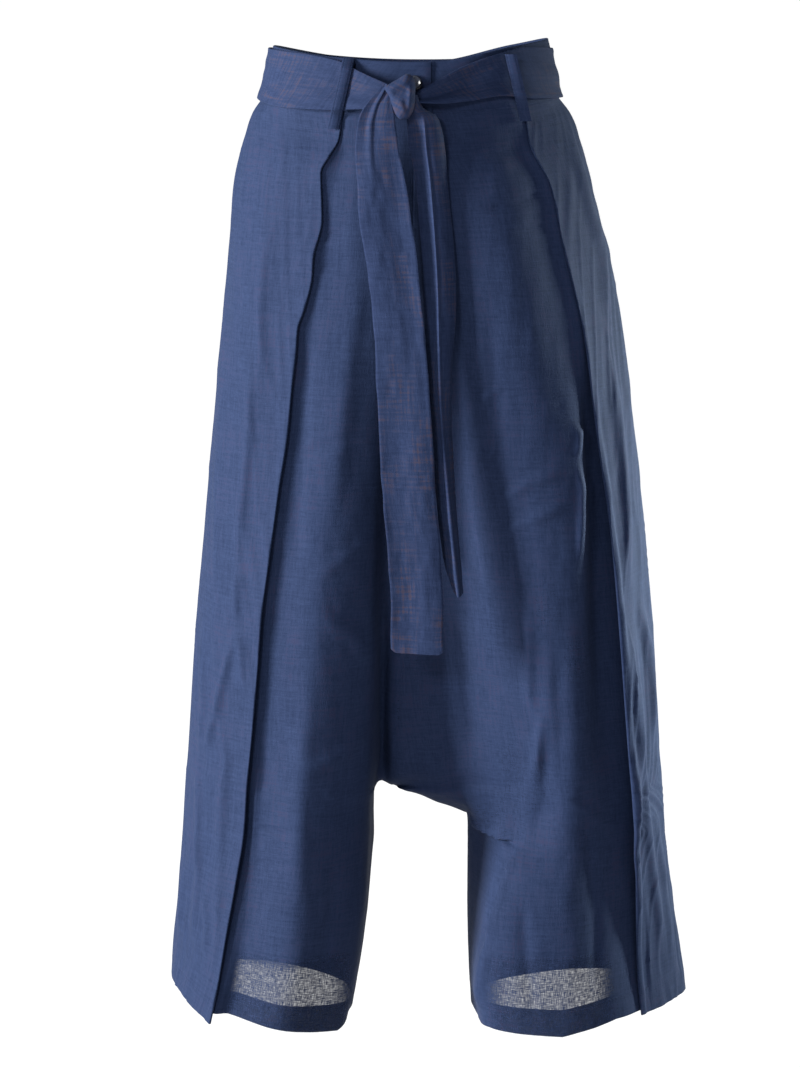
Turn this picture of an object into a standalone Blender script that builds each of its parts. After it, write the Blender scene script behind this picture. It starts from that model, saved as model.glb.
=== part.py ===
"""Drop-crotch trousers in linen, with a knife pleat down each front and a tie belt knotted at the front.

The trousers hang as worn. X runs to the wearer's left, Y to the back, Z up, in metres, and the origin is the
centre of the waist. Tables are in millimetres: a drop is a distance below the waist, X and Y are places in plan.
Each panel is a loft through horizontal sections, and its wall is half inside and half outside the lofted surface.
"""

import math

import bpy
import numpy as np
from mathutils import Vector
from mathutils.bvhtree import BVHTree

MM = 0.001
COLLECTION = "drop_crotch_trousers"

# Cloth
CLOTH = 1.2
HEM_CLOTH = 2.0
HEM_TURN_UP = 24.0
SHARP_ANGLE = 40.0
DOUBLED_CLOTH = 2.0
BELT_CLOTH = 1.3
SEAM_GAP = 0.3
WAIST_SEAM_GAP = 0.8

# Waist, as a rounded oval that is wider than deep
WAIST_WIDTH = 252.0
WAIST_LEFT_SHARE = 0.952
WAIST_DEPTH = 190.0
WAIST_SQUARENESS = 2.3
WAISTBAND_HEIGHT = 47.0
WAISTBAND_FLARE = 11.5
WAISTBAND_FLARE_DEPTH = 7.0
FRONT_DIP_TOP, FRONT_DIP_SEAM = 12.0, 9.0
BACK_DIP_TOP, BACK_DIP_SEAM = 17.0, 14.0
DIP_FADES_AT = 160.0
LEFT_RISE = 6.5
LAP_OUTER_END, LAP_INNER_END = 14.5, -12.0
LAP_EASE = 45.0

# Legs
CROTCH_DROP = 681.0
LENGTH = 900.0
LAYER_GAP = 2.7
SAG_STARTS_AT = 540.0
SAG_FADES_FROM, SAG_FADES_AT = 730.0, 790.0
HEM_LIFT_FROM = 730.0

# Belt
LOOP_WIDTH = 10.5
LOOP_SETTLING = 3
KNOT_CENTRE = Vector((-11.0, -119.0, -41.5))
KNOT_SIZE = Vector((13.0, 10.5, 18.0))
KNOT_LEAN = 0.1
KNOT_REACH = 9.0
BELT_LEAN = 0.85
TAIL_FOLD = 1.6
TAIL_ROWS, TAIL_ROWS_SPREAD = 22, 1.5
TAIL_WAVE, TAIL_WAVE_FROM, TAIL_WAVE_FULL = 90.0, 60, 120
BELT_STEPS_SPREAD, BELT_BULGE_SHARE = 0.8, 0.06
BELT_EASE, LOOP_EASE, BUTTON_EASE = 0.4, 0.1, 0.1

# Button
BUTTON_RADIUS, BUTTON_HEIGHT, BUTTON_RIM = 6.5, 2.4, 0.6
BUTTON_X, BUTTON_Z = 0.0, -30.2

ROW_DROPS = (
    WAISTBAND_HEIGHT, 60, 80, 110, 150, 200, 265, 335, 410, 485, 550, 600, 640, 662, 675, CROTCH_DROP,
    683, 687, 693, 701, 711, 722, 736, 762, 800, 845, LENGTH - HEM_TURN_UP, LENGTH,
)  # fmt: skip


def table(columns, *rows):
    """A table as a dictionary: each named column is an array down the rows."""
    return dict(zip(columns.split(), np.array(rows, float).T))


# The centre seam above the crotch. It leans to the wearer's right, where the drape is caught behind the leg.
CENTRE_SEAM = table(
    "drop   x  front  back",
    (47,    0,  -101,   101),
    (120,  -1,  -106,   114),
    (190,  -2,  -105,   121),
    (250,  -3,  -101,   119),
    (340,  -5,   -89,   109),
    (440,  -8,   -72,    93),
    (550, -12,   -54,    70),
    (600, -15,   -45,    54),
    (640, -17,   -34,    40),
    (662, -18,   -24,    28),
    (675, -19,   -12,    14),
    (681, -19,     0,     0),
)  # fmt: skip

# The inseams below the crotch. The right leg hangs close to it, and the left leg draws the cloth away.
INSEAM = table(
    "drop  right_x  left_x  right_y  left_y",
    (681,      -19,    -19,       0,      0),
    (683,      -29,    -14,       0,      0),
    (687,      -34,     -6,       0,      0),
    (693,      -37,      8,       0,      0),
    (701,      -38,     22,       0,      0),
    (711,      -38,     37,       0,      0),
    (722,      -38,     49,       0,      0),
    (736,      -38,     53,       0,      0),
    (762,      -40,     54,       0,      0),
    (800,      -43,     54,      -3,     -3),
    (845,      -49,     54,      -8,     -8),
    (900,      -58,     56,     -14,    -14),
)  # fmt: skip

# How far the crotch's lower edge sags below its section, from the right leg across the drape to the left leg.
CROTCH_SAG = table(
    "x    sag",
    (-45,   0),
    (-36,   1),
    (-30,   4),
    (-19,  13),
    (-8,   12),
    (0,    10),
    (20,    8),
    (35,    4),
    (52,    0),
)  # fmt: skip

# How far each feature's hem lies above the length, or below it if negative. Side 0 is the right, side 1 the left.
HEM_LIFT = table(
    "side  seam valley ridge  mid outer recess hidden edge flank side_seam",
    (0,      -2,    -3,   -7,   5,   14,    15,    13,   6,   16,       21),
    (1,      -2,    -3,    1,  -3,    9,    10,     8,   6,    8,        5),
)  # fmt: skip

# Right front: the furrow behind the leg, the leg's inner ridge, its middle, the cloth beside the pleat, the fold.
FRONT_RIGHT = table(
    "drop valley_x valley_y ridge_x ridge_y mid_x mid_y outer_x outer_y edge_x edge_y lift tuck flank_x flank_y side_x",
    (47,  -14, -101,  -30, -100,  -44,  -97,  -56,  -94,  -67,  -95,  5.6, 45, -112,  -64, -137),
    (60,  -14, -103,  -30, -102,  -45,  -99,  -58,  -96,  -68,  -97,  5.7, 46, -118,  -65, -146),
    (80,  -14, -104,  -30, -103,  -46, -101,  -60,  -97,  -71,  -99,  5.8, 48, -123,  -66, -153),
    (120, -14, -107,  -30, -107,  -52, -105,  -71,  -99,  -83, -101,  6.2, 50, -133,  -68, -163),
    (170, -15, -107,  -31, -108,  -55, -107,  -75, -101,  -87, -104,  6.8, 50, -141,  -70, -168),
    (250, -17, -101,  -32, -104,  -63, -107,  -91, -100, -104, -102,  7.5, 52, -152,  -66, -176),
    (340, -21,  -89,  -34,  -98,  -72, -106, -102,  -96, -115,  -99,  8.5, 54, -162,  -63, -185),
    (440, -25,  -68,  -38,  -90,  -80, -104, -114,  -93, -129,  -97,  9.5, 55, -173,  -60, -195),
    (540, -28,  -45,  -41,  -82,  -88, -104, -126,  -91, -141,  -95, 10.5, 56, -183,  -57, -205),
    (620, -29,  -28,  -43,  -77,  -93, -105, -133,  -90, -149,  -94, 11.0, 56, -190,  -55, -211),
    (662, -30,  -17,  -44,  -75,  -96, -106, -137,  -90, -154,  -94, 11.0, 56, -193,  -54, -214),
    (681, -33,  -17,  -45,  -74,  -98, -107, -140,  -91, -157,  -94, 11.0, 56, -195,  -54, -216),
    (693, -38,  -26,  -46,  -72,  -99, -108, -141,  -91, -158,  -94, 11.0, 56, -196,  -54, -217),
    (736, -40,  -34,  -47,  -70, -101, -110, -145,  -92, -162,  -95, 11.0, 55, -199,  -53, -220),
    (800, -45,  -38,  -51,  -74, -107, -112, -154,  -94, -171,  -97, 10.0, 52, -206,  -54, -225),
    (860, -53,  -42,  -60,  -79, -115, -114, -163,  -95, -181, -100,  9.0, 50, -212,  -55, -231),
    (900, -62,  -50,  -71,  -86, -123, -116, -173,  -96, -190, -102,  8.0, 46, -217,  -57, -233),
)  # fmt: skip

# Left front: the swag of the drape, the leg's front ridge, and the deeper channel beside the pleat.
FRONT_LEFT = table(
    "drop valley_x valley_y ridge_x ridge_y mid_x mid_y outer_x outer_y edge_x edge_y lift tuck flank_x flank_y side_x",
    (47,   14, -101,   40,  -98,   62,  -93,   85,  -80,   97,  -77,  5.6, 38,  119,  -46,  131),
    (60,   15, -103,   42, -100,   66,  -94,   88,  -82,   99,  -80,  5.7, 39,  127,  -48,  141),
    (80,   16, -104,   44, -102,   70,  -96,   91,  -84,  102,  -82,  5.8, 40,  134,  -48,  149),
    (120,  18, -107,   50, -106,   84,  -98,  110,  -81,  121,  -79,  6.2, 40,  148,  -46,  160),
    (170,  20, -107,   55, -108,   92, -101,  121,  -82,  132,  -80,  7.0, 42,  159,  -46,  172),
    (250,  22, -103,   62, -107,  104, -103,  138,  -84,  152,  -80,  9.0, 42,  175,  -46,  188),
    (340,  24,  -92,   72, -101,  112, -102,  147,  -89,  165,  -82, 16.0, 44,  188,  -48,  203),
    (440,  26,  -75,   82,  -93,  118, -100,  152,  -92,  180,  -83, 24.0, 45,  201,  -48,  215),
    (540,  28,  -57,   98,  -87,  125,  -97,  153,  -92,  190,  -83, 28.0, 45,  210,  -47,  225),
    (620,  26,  -47,  112,  -86,  132,  -95,  154,  -91,  197,  -81, 27.0, 44,  217,  -45,  231),
    (662,  18,  -37,  117,  -85,  136,  -94,  157,  -90,  201,  -80, 24.0, 43,  220,  -44,  234),
    (681,  12,  -25,  118,  -84,  138,  -94,  159,  -89,  203,  -79, 22.0, 42,  222,  -43,  236),
    (693,  28,  -26,  117,  -83,  139,  -94,  160,  -89,  204,  -78, 21.0, 41,  223,  -42,  237),
    (722,  65,  -30,  104,  -80,  139,  -96,  164,  -88,  206,  -77, 18.0, 40,  225,  -41,  239),
    (736,  68,  -33,   95,  -82,  139,  -97,  166,  -88,  206,  -77, 17.0, 40,  226,  -41,  240),
    (762,  65,  -34,   88,  -86,  139, -100,  169,  -88,  208,  -76, 14.0, 39,  229,  -40,  243),
    (800,  60,  -36,   77,  -91,  138, -104,  174,  -90,  209,  -76, 11.0, 38,  234,  -40,  248),
    (860,  56,  -42,   67,  -95,  136, -109,  183,  -94,  211,  -78,  7.0, 36,  243,  -41,  257),
    (900,  60,  -48,   71,  -98,  138, -112,  189,  -97,  215,  -80,  6.0, 34,  248,  -42,  262),
)  # fmt: skip

# Backs: the furrow beside the centre seam, the fullest line of the leg, and the cloth beside the side seam.
BACK_RIGHT = table(
    "drop furrow_x furrow_y full_x full_y outer_x outer_y",
    (47,  -30, 100,  -75,  88, -117, 53),
    (120, -35, 114,  -90, 102, -142, 60),
    (190, -38, 123,  -95, 113, -152, 66),
    (300, -40, 119, -100, 114, -164, 66),
    (400, -38, 107, -104, 113, -174, 64),
    (500, -36,  92, -108, 109, -184, 62),
    (605, -36,  75, -112, 102, -192, 60),
    (645, -36,  64, -115,  97, -196, 58),
    (681, -40,  47, -118,  92, -200, 56),
    (736, -46,  36, -122,  87, -203, 54),
    (800, -52,  33, -128,  77, -211, 47),
    (860, -60,  27, -136,  66, -218, 40),
    (900, -68,  19, -142,  57, -221, 35),
)  # fmt: skip
BACK_LEFT = table(
    "drop furrow_x furrow_y full_x full_y outer_x outer_y",
    (47,   28, 100,   72,  88,  114, 53),
    (120,  34, 114,   90, 102,  140, 60),
    (190,  38, 123,  100, 113,  157, 66),
    (300,  42, 119,  108, 114,  175, 66),
    (400,  46, 107,  116, 113,  190, 64),
    (500,  50,  94,  124, 109,  201, 62),
    (605,  52,  78,  132, 102,  210, 60),
    (645,  48,  64,  136,  97,  214, 58),
    (681,  44,  44,  140,  92,  217, 56),
    (705,  62,  38,  142,  89,  220, 55),
    (736,  70,  37,  144,  86,  222, 54),
    (800,  66,  33,  150,  76,  230, 47),
    (860,  64,  26,  156,  66,  239, 40),
    (900,  68,  18,  160,  57,  244, 35),
)  # fmt: skip

# The belt round the waist. The turn is a share of the way from the knot round by the right side to the knot.
BELT = table(
    "turn   top  bottom",
    (0.00, -32,  -52),
    (0.03, -21,  -53),
    (0.06, -11,  -54),
    (0.12,  -5,  -53),
    (0.24,  -2,  -47),
    (0.50, -15,  -59),
    (0.76,  -2,  -46),
    (0.86,   0,  -45),
    (0.91,  -6,  -42),
    (0.95, -15,  -46),
    (0.98, -27,  -48),
    (1.00, -38,  -47),
)  # fmt: skip

# The tails: edges in X and the plan position of each edge, from the knot down.
TAIL_WIDE = table(
    "drop  left_x  right_x  left_y  right_y",
    (35,      -31,     -27,   -120,    -123),
    (44,      -38,     -27,   -121,    -124),
    (53,      -44,     -22,   -122,    -125),
    (62,      -48,     -12,   -123,    -126),
    (72,      -50,     -13,   -123,    -127),
    (90,      -50,     -12,   -123,    -126),
    (130,     -50,      -6,   -122,    -124),
    (220,     -38,       6,   -120,    -123),
    (330,     -32,      15,   -121,    -124),
    (430,     -25,      22,   -122,    -121),
    (534,     -20,      27,   -121,    -123),
)  # fmt: skip
TAIL_EDGE = table(
    "drop  front_x  rear_x  front_y  rear_y",
    (45,       -4,      2,    -124,   -119),
    (51,       -1,      7,    -124,   -118),
    (58,        8,     19,    -122,   -115),
    (67,        9,     23,    -121,   -113),
    (80,       10,     26,    -120,   -112),
    (113,      14,     29,    -120,   -111),
    (215,      21,     37,    -120,   -111),
    (300,      23,     33,    -120,   -109),
    (400,      31,     37,    -119,   -107),
    (450,      36,     41,    -119,   -110),
    (484,      40,     44,    -119,   -115),
)  # fmt: skip


def eased(data, column, places):
    """A column read anywhere along the table's first column, on smooth curves that pass its rows without overshoot."""
    at, value = data[next(iter(data))], data[column]
    step = np.diff(at)
    rise = np.diff(value) / step
    slope = np.zeros(len(at))
    slope[0], slope[-1] = rise[0], rise[-1]
    same_way = rise[:-1] * rise[1:] > 0
    weight_a = 2 * step[1:] + step[:-1]
    weight_b = step[1:] + 2 * step[:-1]
    safe = np.where(same_way, rise[:-1] * rise[1:], 1.0)
    joint = (weight_a + weight_b) * safe / np.where(same_way, weight_a * rise[1:] + weight_b * rise[:-1], 1.0)
    slope[1:-1] = np.where(same_way, joint, 0.0)
    places = np.clip(np.asarray(places, float), at[0], at[-1])
    i = np.clip(np.searchsorted(at, places, side="right") - 1, 0, len(step) - 1)
    t = (places - at[i]) / step[i]
    start = (1 + 2 * t) * (1 - t) ** 2 * value[i] + t * (1 - t) ** 2 * step[i] * slope[i]
    end = t * t * (3 - 2 * t) * value[i + 1] + t * t * (t - 1) * step[i] * slope[i + 1]
    return start + end


def knot(data, name, drop):
    """The plan position of one named feature at a drop."""
    return np.array([eased(data, name + "_x", drop), eased(data, name + "_y", drop)], float)


def smooth_step(value, low, high):
    t = np.clip((value - low) / (high - low), 0, 1)
    return t * t * (3 - 2 * t)


def through(knots, counts):
    """A smooth plan curve through knots[1] to knots[-2]. The first and last knots only steer its ends.

    It is a centripetal Catmull-Rom curve, and counts gives how many steps each stretch between knots has.
    """
    knots = [np.asarray(k, float) for k in knots]
    out = [knots[1][None, :]]
    for i, count in enumerate(counts):
        p0, p1, p2, p3 = knots[i : i + 4]
        t01, t12, t23 = (math.sqrt(max(np.linalg.norm(b - a), 1e-6)) for a, b in ((p0, p1), (p1, p2), (p2, p3)))
        m1 = p2 - p1 + t12 * ((p1 - p0) / t01 - (p2 - p0) / (t01 + t12))
        m2 = p2 - p1 + t12 * ((p3 - p2) / t23 - (p3 - p1) / (t12 + t23))
        t = (np.arange(1, count + 1) / count)[:, None]
        out.append((2 * (p1 - p2) + m1 + m2) * t**3 + (3 * (p2 - p1) - 2 * m1 - m2) * t**2 + m1 * t + p1)
    return np.concatenate(out)


def oval_y(x, drop):
    """The waist oval's half depth at an X, at a drop within the waistband."""
    flare = drop / WAISTBAND_HEIGHT
    half_width = (WAIST_WIDTH / 2 + WAISTBAND_FLARE * flare) * (WAIST_LEFT_SHARE if x > 0 else 1.0)
    half_depth = WAIST_DEPTH / 2 + WAISTBAND_FLARE_DEPTH * flare
    share = np.clip(1 - np.abs(x / half_width) ** WAIST_SQUARENESS, 0, 1)
    return half_depth * share ** (1 / WAIST_SQUARENESS)


def seam_knot(side, face, drop):
    """Where a panel starts: on the centre seam above the crotch and on its own inseam below."""
    if drop <= CROTCH_DROP:
        return np.array([eased(CENTRE_SEAM, "x", drop), eased(CENTRE_SEAM, face, drop)], float)
    return np.array([eased(INSEAM, side + "_x", drop), eased(INSEAM, side + "_y", drop)], float)


def side_knot(side, drop):
    front = FRONT_RIGHT if side == "right" else FRONT_LEFT
    return np.array([eased(front, "side_x", drop), 0.0], float)


def beyond_seam(side, face, drop):
    """The neighbour's first feature past the seam, which steers the curve so that it crosses the seam smoothly."""
    other = "left" if side == "right" else "right"
    if drop <= CROTCH_DROP:
        data = PANELS[face, other]
        name = "valley" if face == "front" else "furrow"
    else:
        data = PANELS["back" if face == "front" else "front", side]
        name = "furrow" if face == "front" else "valley"
    return knot(data, name, drop)


PANELS = {
    ("front", "right"): FRONT_RIGHT,
    ("front", "left"): FRONT_LEFT,
    ("back", "right"): BACK_RIGHT,
    ("back", "left"): BACK_LEFT,
}


# Steps between a front's features. Columns counts them up to each feature, with the two folds and the layer between.
FOLD_STEPS = 3
FRONT_STEPS = {"under_layer": (3, 3, 4, 4, 3, 2, 2), "top_layer": (4, 3)}
FRONT_COLUMNS = np.cumsum(
    [0, 3, 3, 4, 4, 3, 4, FOLD_STEPS, FOLD_STEPS, FOLD_STEPS, *FRONT_STEPS["top_layer"]]
)


def along(curve, distances):
    """Points and unit tangents at distances along a plan curve."""
    step = np.linalg.norm(np.diff(curve, axis=0), axis=1)
    length = np.concatenate([[0], np.cumsum(step)])
    points = np.stack([np.interp(distances, length, curve[:, k]) for k in (0, 1)], axis=1)
    ahead = np.stack([np.interp(distances + 1.0, length, curve[:, k]) for k in (0, 1)], axis=1)
    behind = np.stack([np.interp(np.maximum(distances - 1.0, 0), length, curve[:, k]) for k in (0, 1)], axis=1)
    tangent = ahead - behind
    return points, tangent / np.linalg.norm(tangent, axis=1)[:, None]


def front_section(side, drop):
    """One front's plan curve from its seam to the side, through the knife pleat.

    The pleat is three layers. The front runs on under the side panel as layer A, turns back in the hidden fold
    as layer B, and turns out again in the visible fold as layer C, which goes on to the side seam.
    """
    data = PANELS["front", side]
    turn = 1.0 if side == "right" else -1.0
    edge, flank, side_point = knot(data, "edge", drop), knot(data, "flank", drop), side_knot(side, drop)
    past_side = knot(PANELS["back", side], "outer", drop)
    panel_c = through([2 * edge - flank, edge, flank, side_point, past_side], FRONT_STEPS["top_layer"])
    fine_c = through([2 * edge - flank, edge, flank, side_point, past_side], (30, 30))
    tuck, lift = float(eased(data, "tuck", drop)), float(eased(data, "lift", drop))

    def layer(distances, depth):
        points, tangent = along(fine_c, np.asarray(distances, float))
        inward = turn * np.stack([tangent[:, 1], -tangent[:, 0]], axis=1)
        return points + inward * np.asarray(depth, float)[..., None], tangent, inward

    under = 2 * LAYER_GAP
    a_points, tangent, inward = layer([0, tuck / 2, tuck], [lift, under + (lift - under) / 4, under])
    ahead = 2 * a_points[2] - a_points[1]
    features = [knot(data, name, drop) for name in ("valley", "ridge", "mid", "outer")]
    if drop <= WAISTBAND_HEIGHT:
        features = [np.array([x, -oval_y(x, drop)]) for x, _ in features]
    knots = [beyond_seam(side, "front", drop), seam_knot(side, "front", drop), *features, *a_points, ahead]
    panel_a = through(knots, FRONT_STEPS["under_layer"])
    radius = LAYER_GAP / 2
    angles = np.pi * np.arange(1, FOLD_STEPS + 1)[:, None] / FOLD_STEPS
    hidden = a_points[2] - inward[2] * radius
    hidden_fold = hidden + radius * (inward[2] * np.cos(angles) + tangent[2] * np.sin(angles))
    layer_b, _, _ = layer(tuck * np.array([2 / 3, 1 / 3, 0.0]), [LAYER_GAP] * 3)
    visible = edge + inward[0] * radius
    visible_fold = visible + radius * (inward[0] * np.cos(angles) - tangent[0] * np.sin(angles))
    return np.concatenate([panel_a, hidden_fold, layer_b, visible_fold, panel_c[1:]])


def back_section(side, drop):
    """One back's plan curve from its seam to the side."""
    data = PANELS["back", side]
    features = [knot(data, name, drop) for name in ("furrow", "full", "outer")]
    if drop <= WAISTBAND_HEIGHT:
        features = [np.array([x, oval_y(x, drop)]) for x, _ in features]
    past_side = knot(PANELS["front", side], "flank", drop)
    seam, side_point = seam_knot(side, "back", drop), side_knot(side, drop)
    knots = [beyond_seam(side, "back", drop), seam, *features, side_point, past_side]
    return through(knots, (4, 4, 3, 3))


def seam_dip(x, is_front, top=False):
    """How far the waistband's edge dips below the level of the sides, at an X."""
    front, back = (FRONT_DIP_TOP, BACK_DIP_TOP) if top else (FRONT_DIP_SEAM, BACK_DIP_SEAM)
    half_width = WAIST_WIDTH / 2 + (0 if top else WAISTBAND_FLARE)
    half_width = half_width * np.where(x > 0, WAIST_LEFT_SHARE, 1.0)
    share = np.clip(1 - (x / half_width) ** 2, 0, 1)
    rise = LEFT_RISE * smooth_step(x, 20, 90) if top else 0.0
    return np.where(is_front, front, back) * share - rise


def hem_lift(face, side, columns):
    """Each column's hem lift: along a front it passes through every feature, along a back from seam to side."""
    row = 0 if side == "right" else 1
    lift = {name: values[row] for name, values in HEM_LIFT.items()}
    if face == "back":
        return np.interp(np.arange(columns), (0, columns - 1), (lift["seam"], lift["side_seam"]))
    names = "seam valley ridge mid outer recess hidden hidden edge edge flank side_seam"
    return np.interp(np.arange(columns), FRONT_COLUMNS, [lift[name] for name in names.split()])


def panel_grid(face, side):
    """The panel's mid surface: an array of rows down the garment, points along each row, and X, Y, Z."""
    section = front_section if face == "front" else back_section
    rows = []
    for drop in ROW_DROPS:
        curve = section(side, float(drop))
        dips = (1 - smooth_step(drop, WAISTBAND_HEIGHT, DIP_FADES_AT)) * seam_dip(curve[:, 0], face == "front")
        near_crotch = smooth_step(drop, SAG_STARTS_AT, CROTCH_DROP)
        near_crotch *= 1 - smooth_step(drop, SAG_FADES_FROM, SAG_FADES_AT)
        sag = near_crotch * eased(CROTCH_SAG, "sag", curve[:, 0])
        hem = np.clip((drop - HEM_LIFT_FROM) / (LENGTH - HEM_LIFT_FROM), 0, 1) ** 2
        level = -drop - dips - sag + hem * hem_lift(face, side, len(curve))
        rows.append(np.column_stack([curve, level]))
    grid = np.array(rows)
    grid[0, :, 2] -= WAIST_SEAM_GAP / 2
    return grid


def outward_faces(rows, columns, flipped):
    """The index quads of a grid, ordered so that they face out of the garment."""
    index = np.arange(rows * columns).reshape(rows, columns)
    quads = np.stack([index[:-1, :-1], index[:-1, 1:], index[1:, 1:], index[1:, :-1]], axis=-1).reshape(-1, 4)
    return quads[:, ::-1] if flipped else quads


def shared_normals(grids, flips):
    """Vertex normals over all the panels together, so that two panels agree along the seam that they share."""
    points = np.concatenate([g.reshape(-1, 3) for g in grids.values()])
    starts = np.cumsum([0] + [g.shape[0] * g.shape[1] for g in grids.values()])
    _, same = np.unique(np.round(points, 4), axis=0, return_inverse=True)
    same = same.reshape(-1)
    total = np.zeros((same.max() + 1, 3))
    for start, (name, grid) in zip(starts, grids.items()):
        quads = outward_faces(*grid.shape[:2], flips[name]) + start
        corners = points[quads]
        face_normal = np.cross(corners[:, 2] - corners[:, 0], corners[:, 3] - corners[:, 1])
        for corner in range(4):
            before, after = corners[:, corner - 1], corners[:, (corner + 1) % 4]
            first, second = before - corners[:, corner], after - corners[:, corner]
            size = np.linalg.norm(first, axis=1) * np.linalg.norm(second, axis=1) + 1e-12
            angle = np.arccos(np.clip((first * second).sum(axis=1) / size, -1, 1))
            unit = face_normal / (np.linalg.norm(face_normal, axis=1)[:, None] + 1e-12)
            np.add.at(total, same[quads[:, corner]], unit * angle[:, None])
    normals = total / (np.linalg.norm(total, axis=1)[:, None] + 1e-12)
    return {
        name: normals[same[start : start + grid.shape[0] * grid.shape[1]]].reshape(grid.shape)
        for start, (name, grid) in zip(starts, grids.items())
    }


def inset_seams(grid, normals):
    """Pulls the first and last column back along the cloth by half the seam gap."""
    grid = grid.copy()
    for edge, inner in ((0, 1), (-1, -2)):
        run = grid[:, inner] - grid[:, edge]
        run -= (run * normals[:, edge]).sum(axis=1)[:, None] * normals[:, edge]
        grid[:, edge] += SEAM_GAP / 2 * run / np.linalg.norm(run, axis=1)[:, None]
    return grid


def walls_of(rows, columns):
    """The quads that close the edge of a wall between an outer grid and an inner grid of the same size."""
    count = rows * columns
    index = np.arange(count).reshape(rows, columns)
    border = np.concatenate([index[0, :-1], index[:-1, -1], index[-1, :0:-1], index[:0:-1, 0]])
    following = np.roll(border, -1)
    return np.stack([border, border + count, following + count, following], axis=1)


def panel_object(name, grid, normals, flipped, material):
    """A closed wall round a panel's mid surface, thicker where the hem is turned up.

    The wall is lofted by hand because neighbours share their seams' normals, which keeps the two cut edges parallel
    and the seam gap even. A Solidify on one panel doesn't know its neighbour.
    """
    rows, columns = grid.shape[:2]
    thickness = np.where(np.array(ROW_DROPS) >= LENGTH - HEM_TURN_UP, HEM_CLOTH, CLOTH)[:, None, None]
    outer = (grid + normals * thickness / 2).reshape(-1, 3)
    inner = (grid - normals * thickness / 2).reshape(-1, 3)
    skin = outward_faces(rows, columns, flipped)
    rim = walls_of(rows, columns)
    rim = rim[:, ::-1] if flipped else rim
    quads = np.concatenate([skin, skin[:, ::-1] + rows * columns, rim])
    return mesh_object(name, np.concatenate([outer, inner]), quads, material)


def mesh_object(name, points_mm, faces, material):
    mesh = bpy.data.meshes.new(name)
    mesh.from_pydata((points_mm * MM).tolist(), [], [tuple(map(int, face)) for face in faces])
    mesh.validate()
    mesh.shade_smooth()
    mesh.set_sharp_from_angle(angle=math.radians(SHARP_ANGLE))
    return add_object(name, mesh, material)


def add_object(name, mesh, material):
    obj = bpy.data.objects.new(name, mesh)
    mesh.materials.append(material)
    bpy.data.collections[COLLECTION].objects.link(obj)
    return obj


def strip_object(name, grid_mm, thickness, material):
    """A flat strip of cloth: an open surface with a Solidify that is half on each side of it."""
    rows, columns = grid_mm.shape[:2]
    obj = mesh_object(name, grid_mm.reshape(-1, 3), outward_faces(rows, columns, False), material)
    wall = obj.modifiers.new("cloth", "SOLIDIFY")
    wall.thickness = thickness * MM
    wall.offset = 0.0
    wall.use_even_offset = True
    return obj


def cloth_material(name, colour, roughness):
    material = bpy.data.materials.new(name)
    material.use_nodes = True
    shader = material.node_tree.nodes["Principled BSDF"]
    shader.inputs["Base Color"].default_value = (*colour, 1.0)
    shader.inputs["Roughness"].default_value = roughness
    shader.inputs["Metallic"].default_value = 0.0
    return material


def oval_point(angle, drop, out):
    """A point of the waist oval, moved out by a distance. The angle starts at the front and turns to the right."""
    flare = drop / WAISTBAND_HEIGHT
    half_width = WAIST_WIDTH / 2 + WAISTBAND_FLARE * flare + out
    half_width = half_width * np.where(np.sin(angle) < 0, WAIST_LEFT_SHARE, 1.0)
    half_depth = WAIST_DEPTH / 2 + WAISTBAND_FLARE_DEPTH * flare + out
    power = 2 / WAIST_SQUARENESS
    x = -np.sign(np.sin(angle)) * half_width * np.abs(np.sin(angle)) ** power
    y = -np.sign(np.cos(angle)) * half_depth * np.abs(np.cos(angle)) ** power
    return x, y


def angle_at(x):
    """The oval's angle where the front crosses an X, just to the right of the centre when X is negative."""
    half_width = (WAIST_WIDTH / 2 + WAISTBAND_FLARE / 2) * (WAIST_LEFT_SHARE if x > 0 else 1.0)
    return -math.copysign(math.asin((abs(x) / half_width) ** (WAIST_SQUARENESS / 2)), x)


def waistband(material):
    """One strip from its inner end under the lap, round by the left side and the back, to its outer end."""
    steps, heights = 56, 3
    start, stop = angle_at(LAP_INNER_END), angle_at(LAP_OUTER_END) - 2 * math.pi
    angles = np.linspace(start, stop, steps + 1)
    angles[0], angles[-1] = start, stop
    top_x, top_y = oval_point(angles, 0, 0)
    seam_x, _ = oval_point(angles, WAISTBAND_HEIGHT, 0)
    is_front = top_y < 0
    lap_starts = angle_at(LAP_INNER_END - LAP_EASE) - 2 * math.pi
    lapped = smooth_step(-angles, -lap_starts, -(angle_at(LAP_INNER_END - 4) - 2 * math.pi))
    rows = []
    for share in np.linspace(0, 1, heights + 1):
        drop = WAISTBAND_HEIGHT * share
        x, y = oval_point(angles, drop, lapped * (DOUBLED_CLOTH + SEAM_GAP))
        dips = (1 - share) * seam_dip(top_x, is_front, top=True) + share * seam_dip(seam_x, is_front)
        gap = WAIST_SEAM_GAP / 2 if share == 1 else 0
        rows.append(np.column_stack([x, y, -drop - dips + gap]))
    return strip_object("waistband", np.array(rows), DOUBLED_CLOTH, material)


def clear_of(tree, x, y, drop, side, gap=SEAM_GAP):
    """An X moved away from the knot until the gap is kept. The side is -1 to the knot's right."""
    for dy in (-1.0, -0.5, 0.0, 0.5, 1.0):
        for dz in (-5.0, -3.0, -1.5, 0.0, 1.5, 3.0, 5.0):
            start = Vector(((KNOT_CENTRE.x + side * 60) * MM, (y + dy) * MM, (dz - drop) * MM))
            hit = tree.ray_cast(start, Vector((-side, 0, 0)))[0]
            if hit is not None:
                x = side * max(side * x, side * hit.x / MM + gap)
    return x


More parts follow.
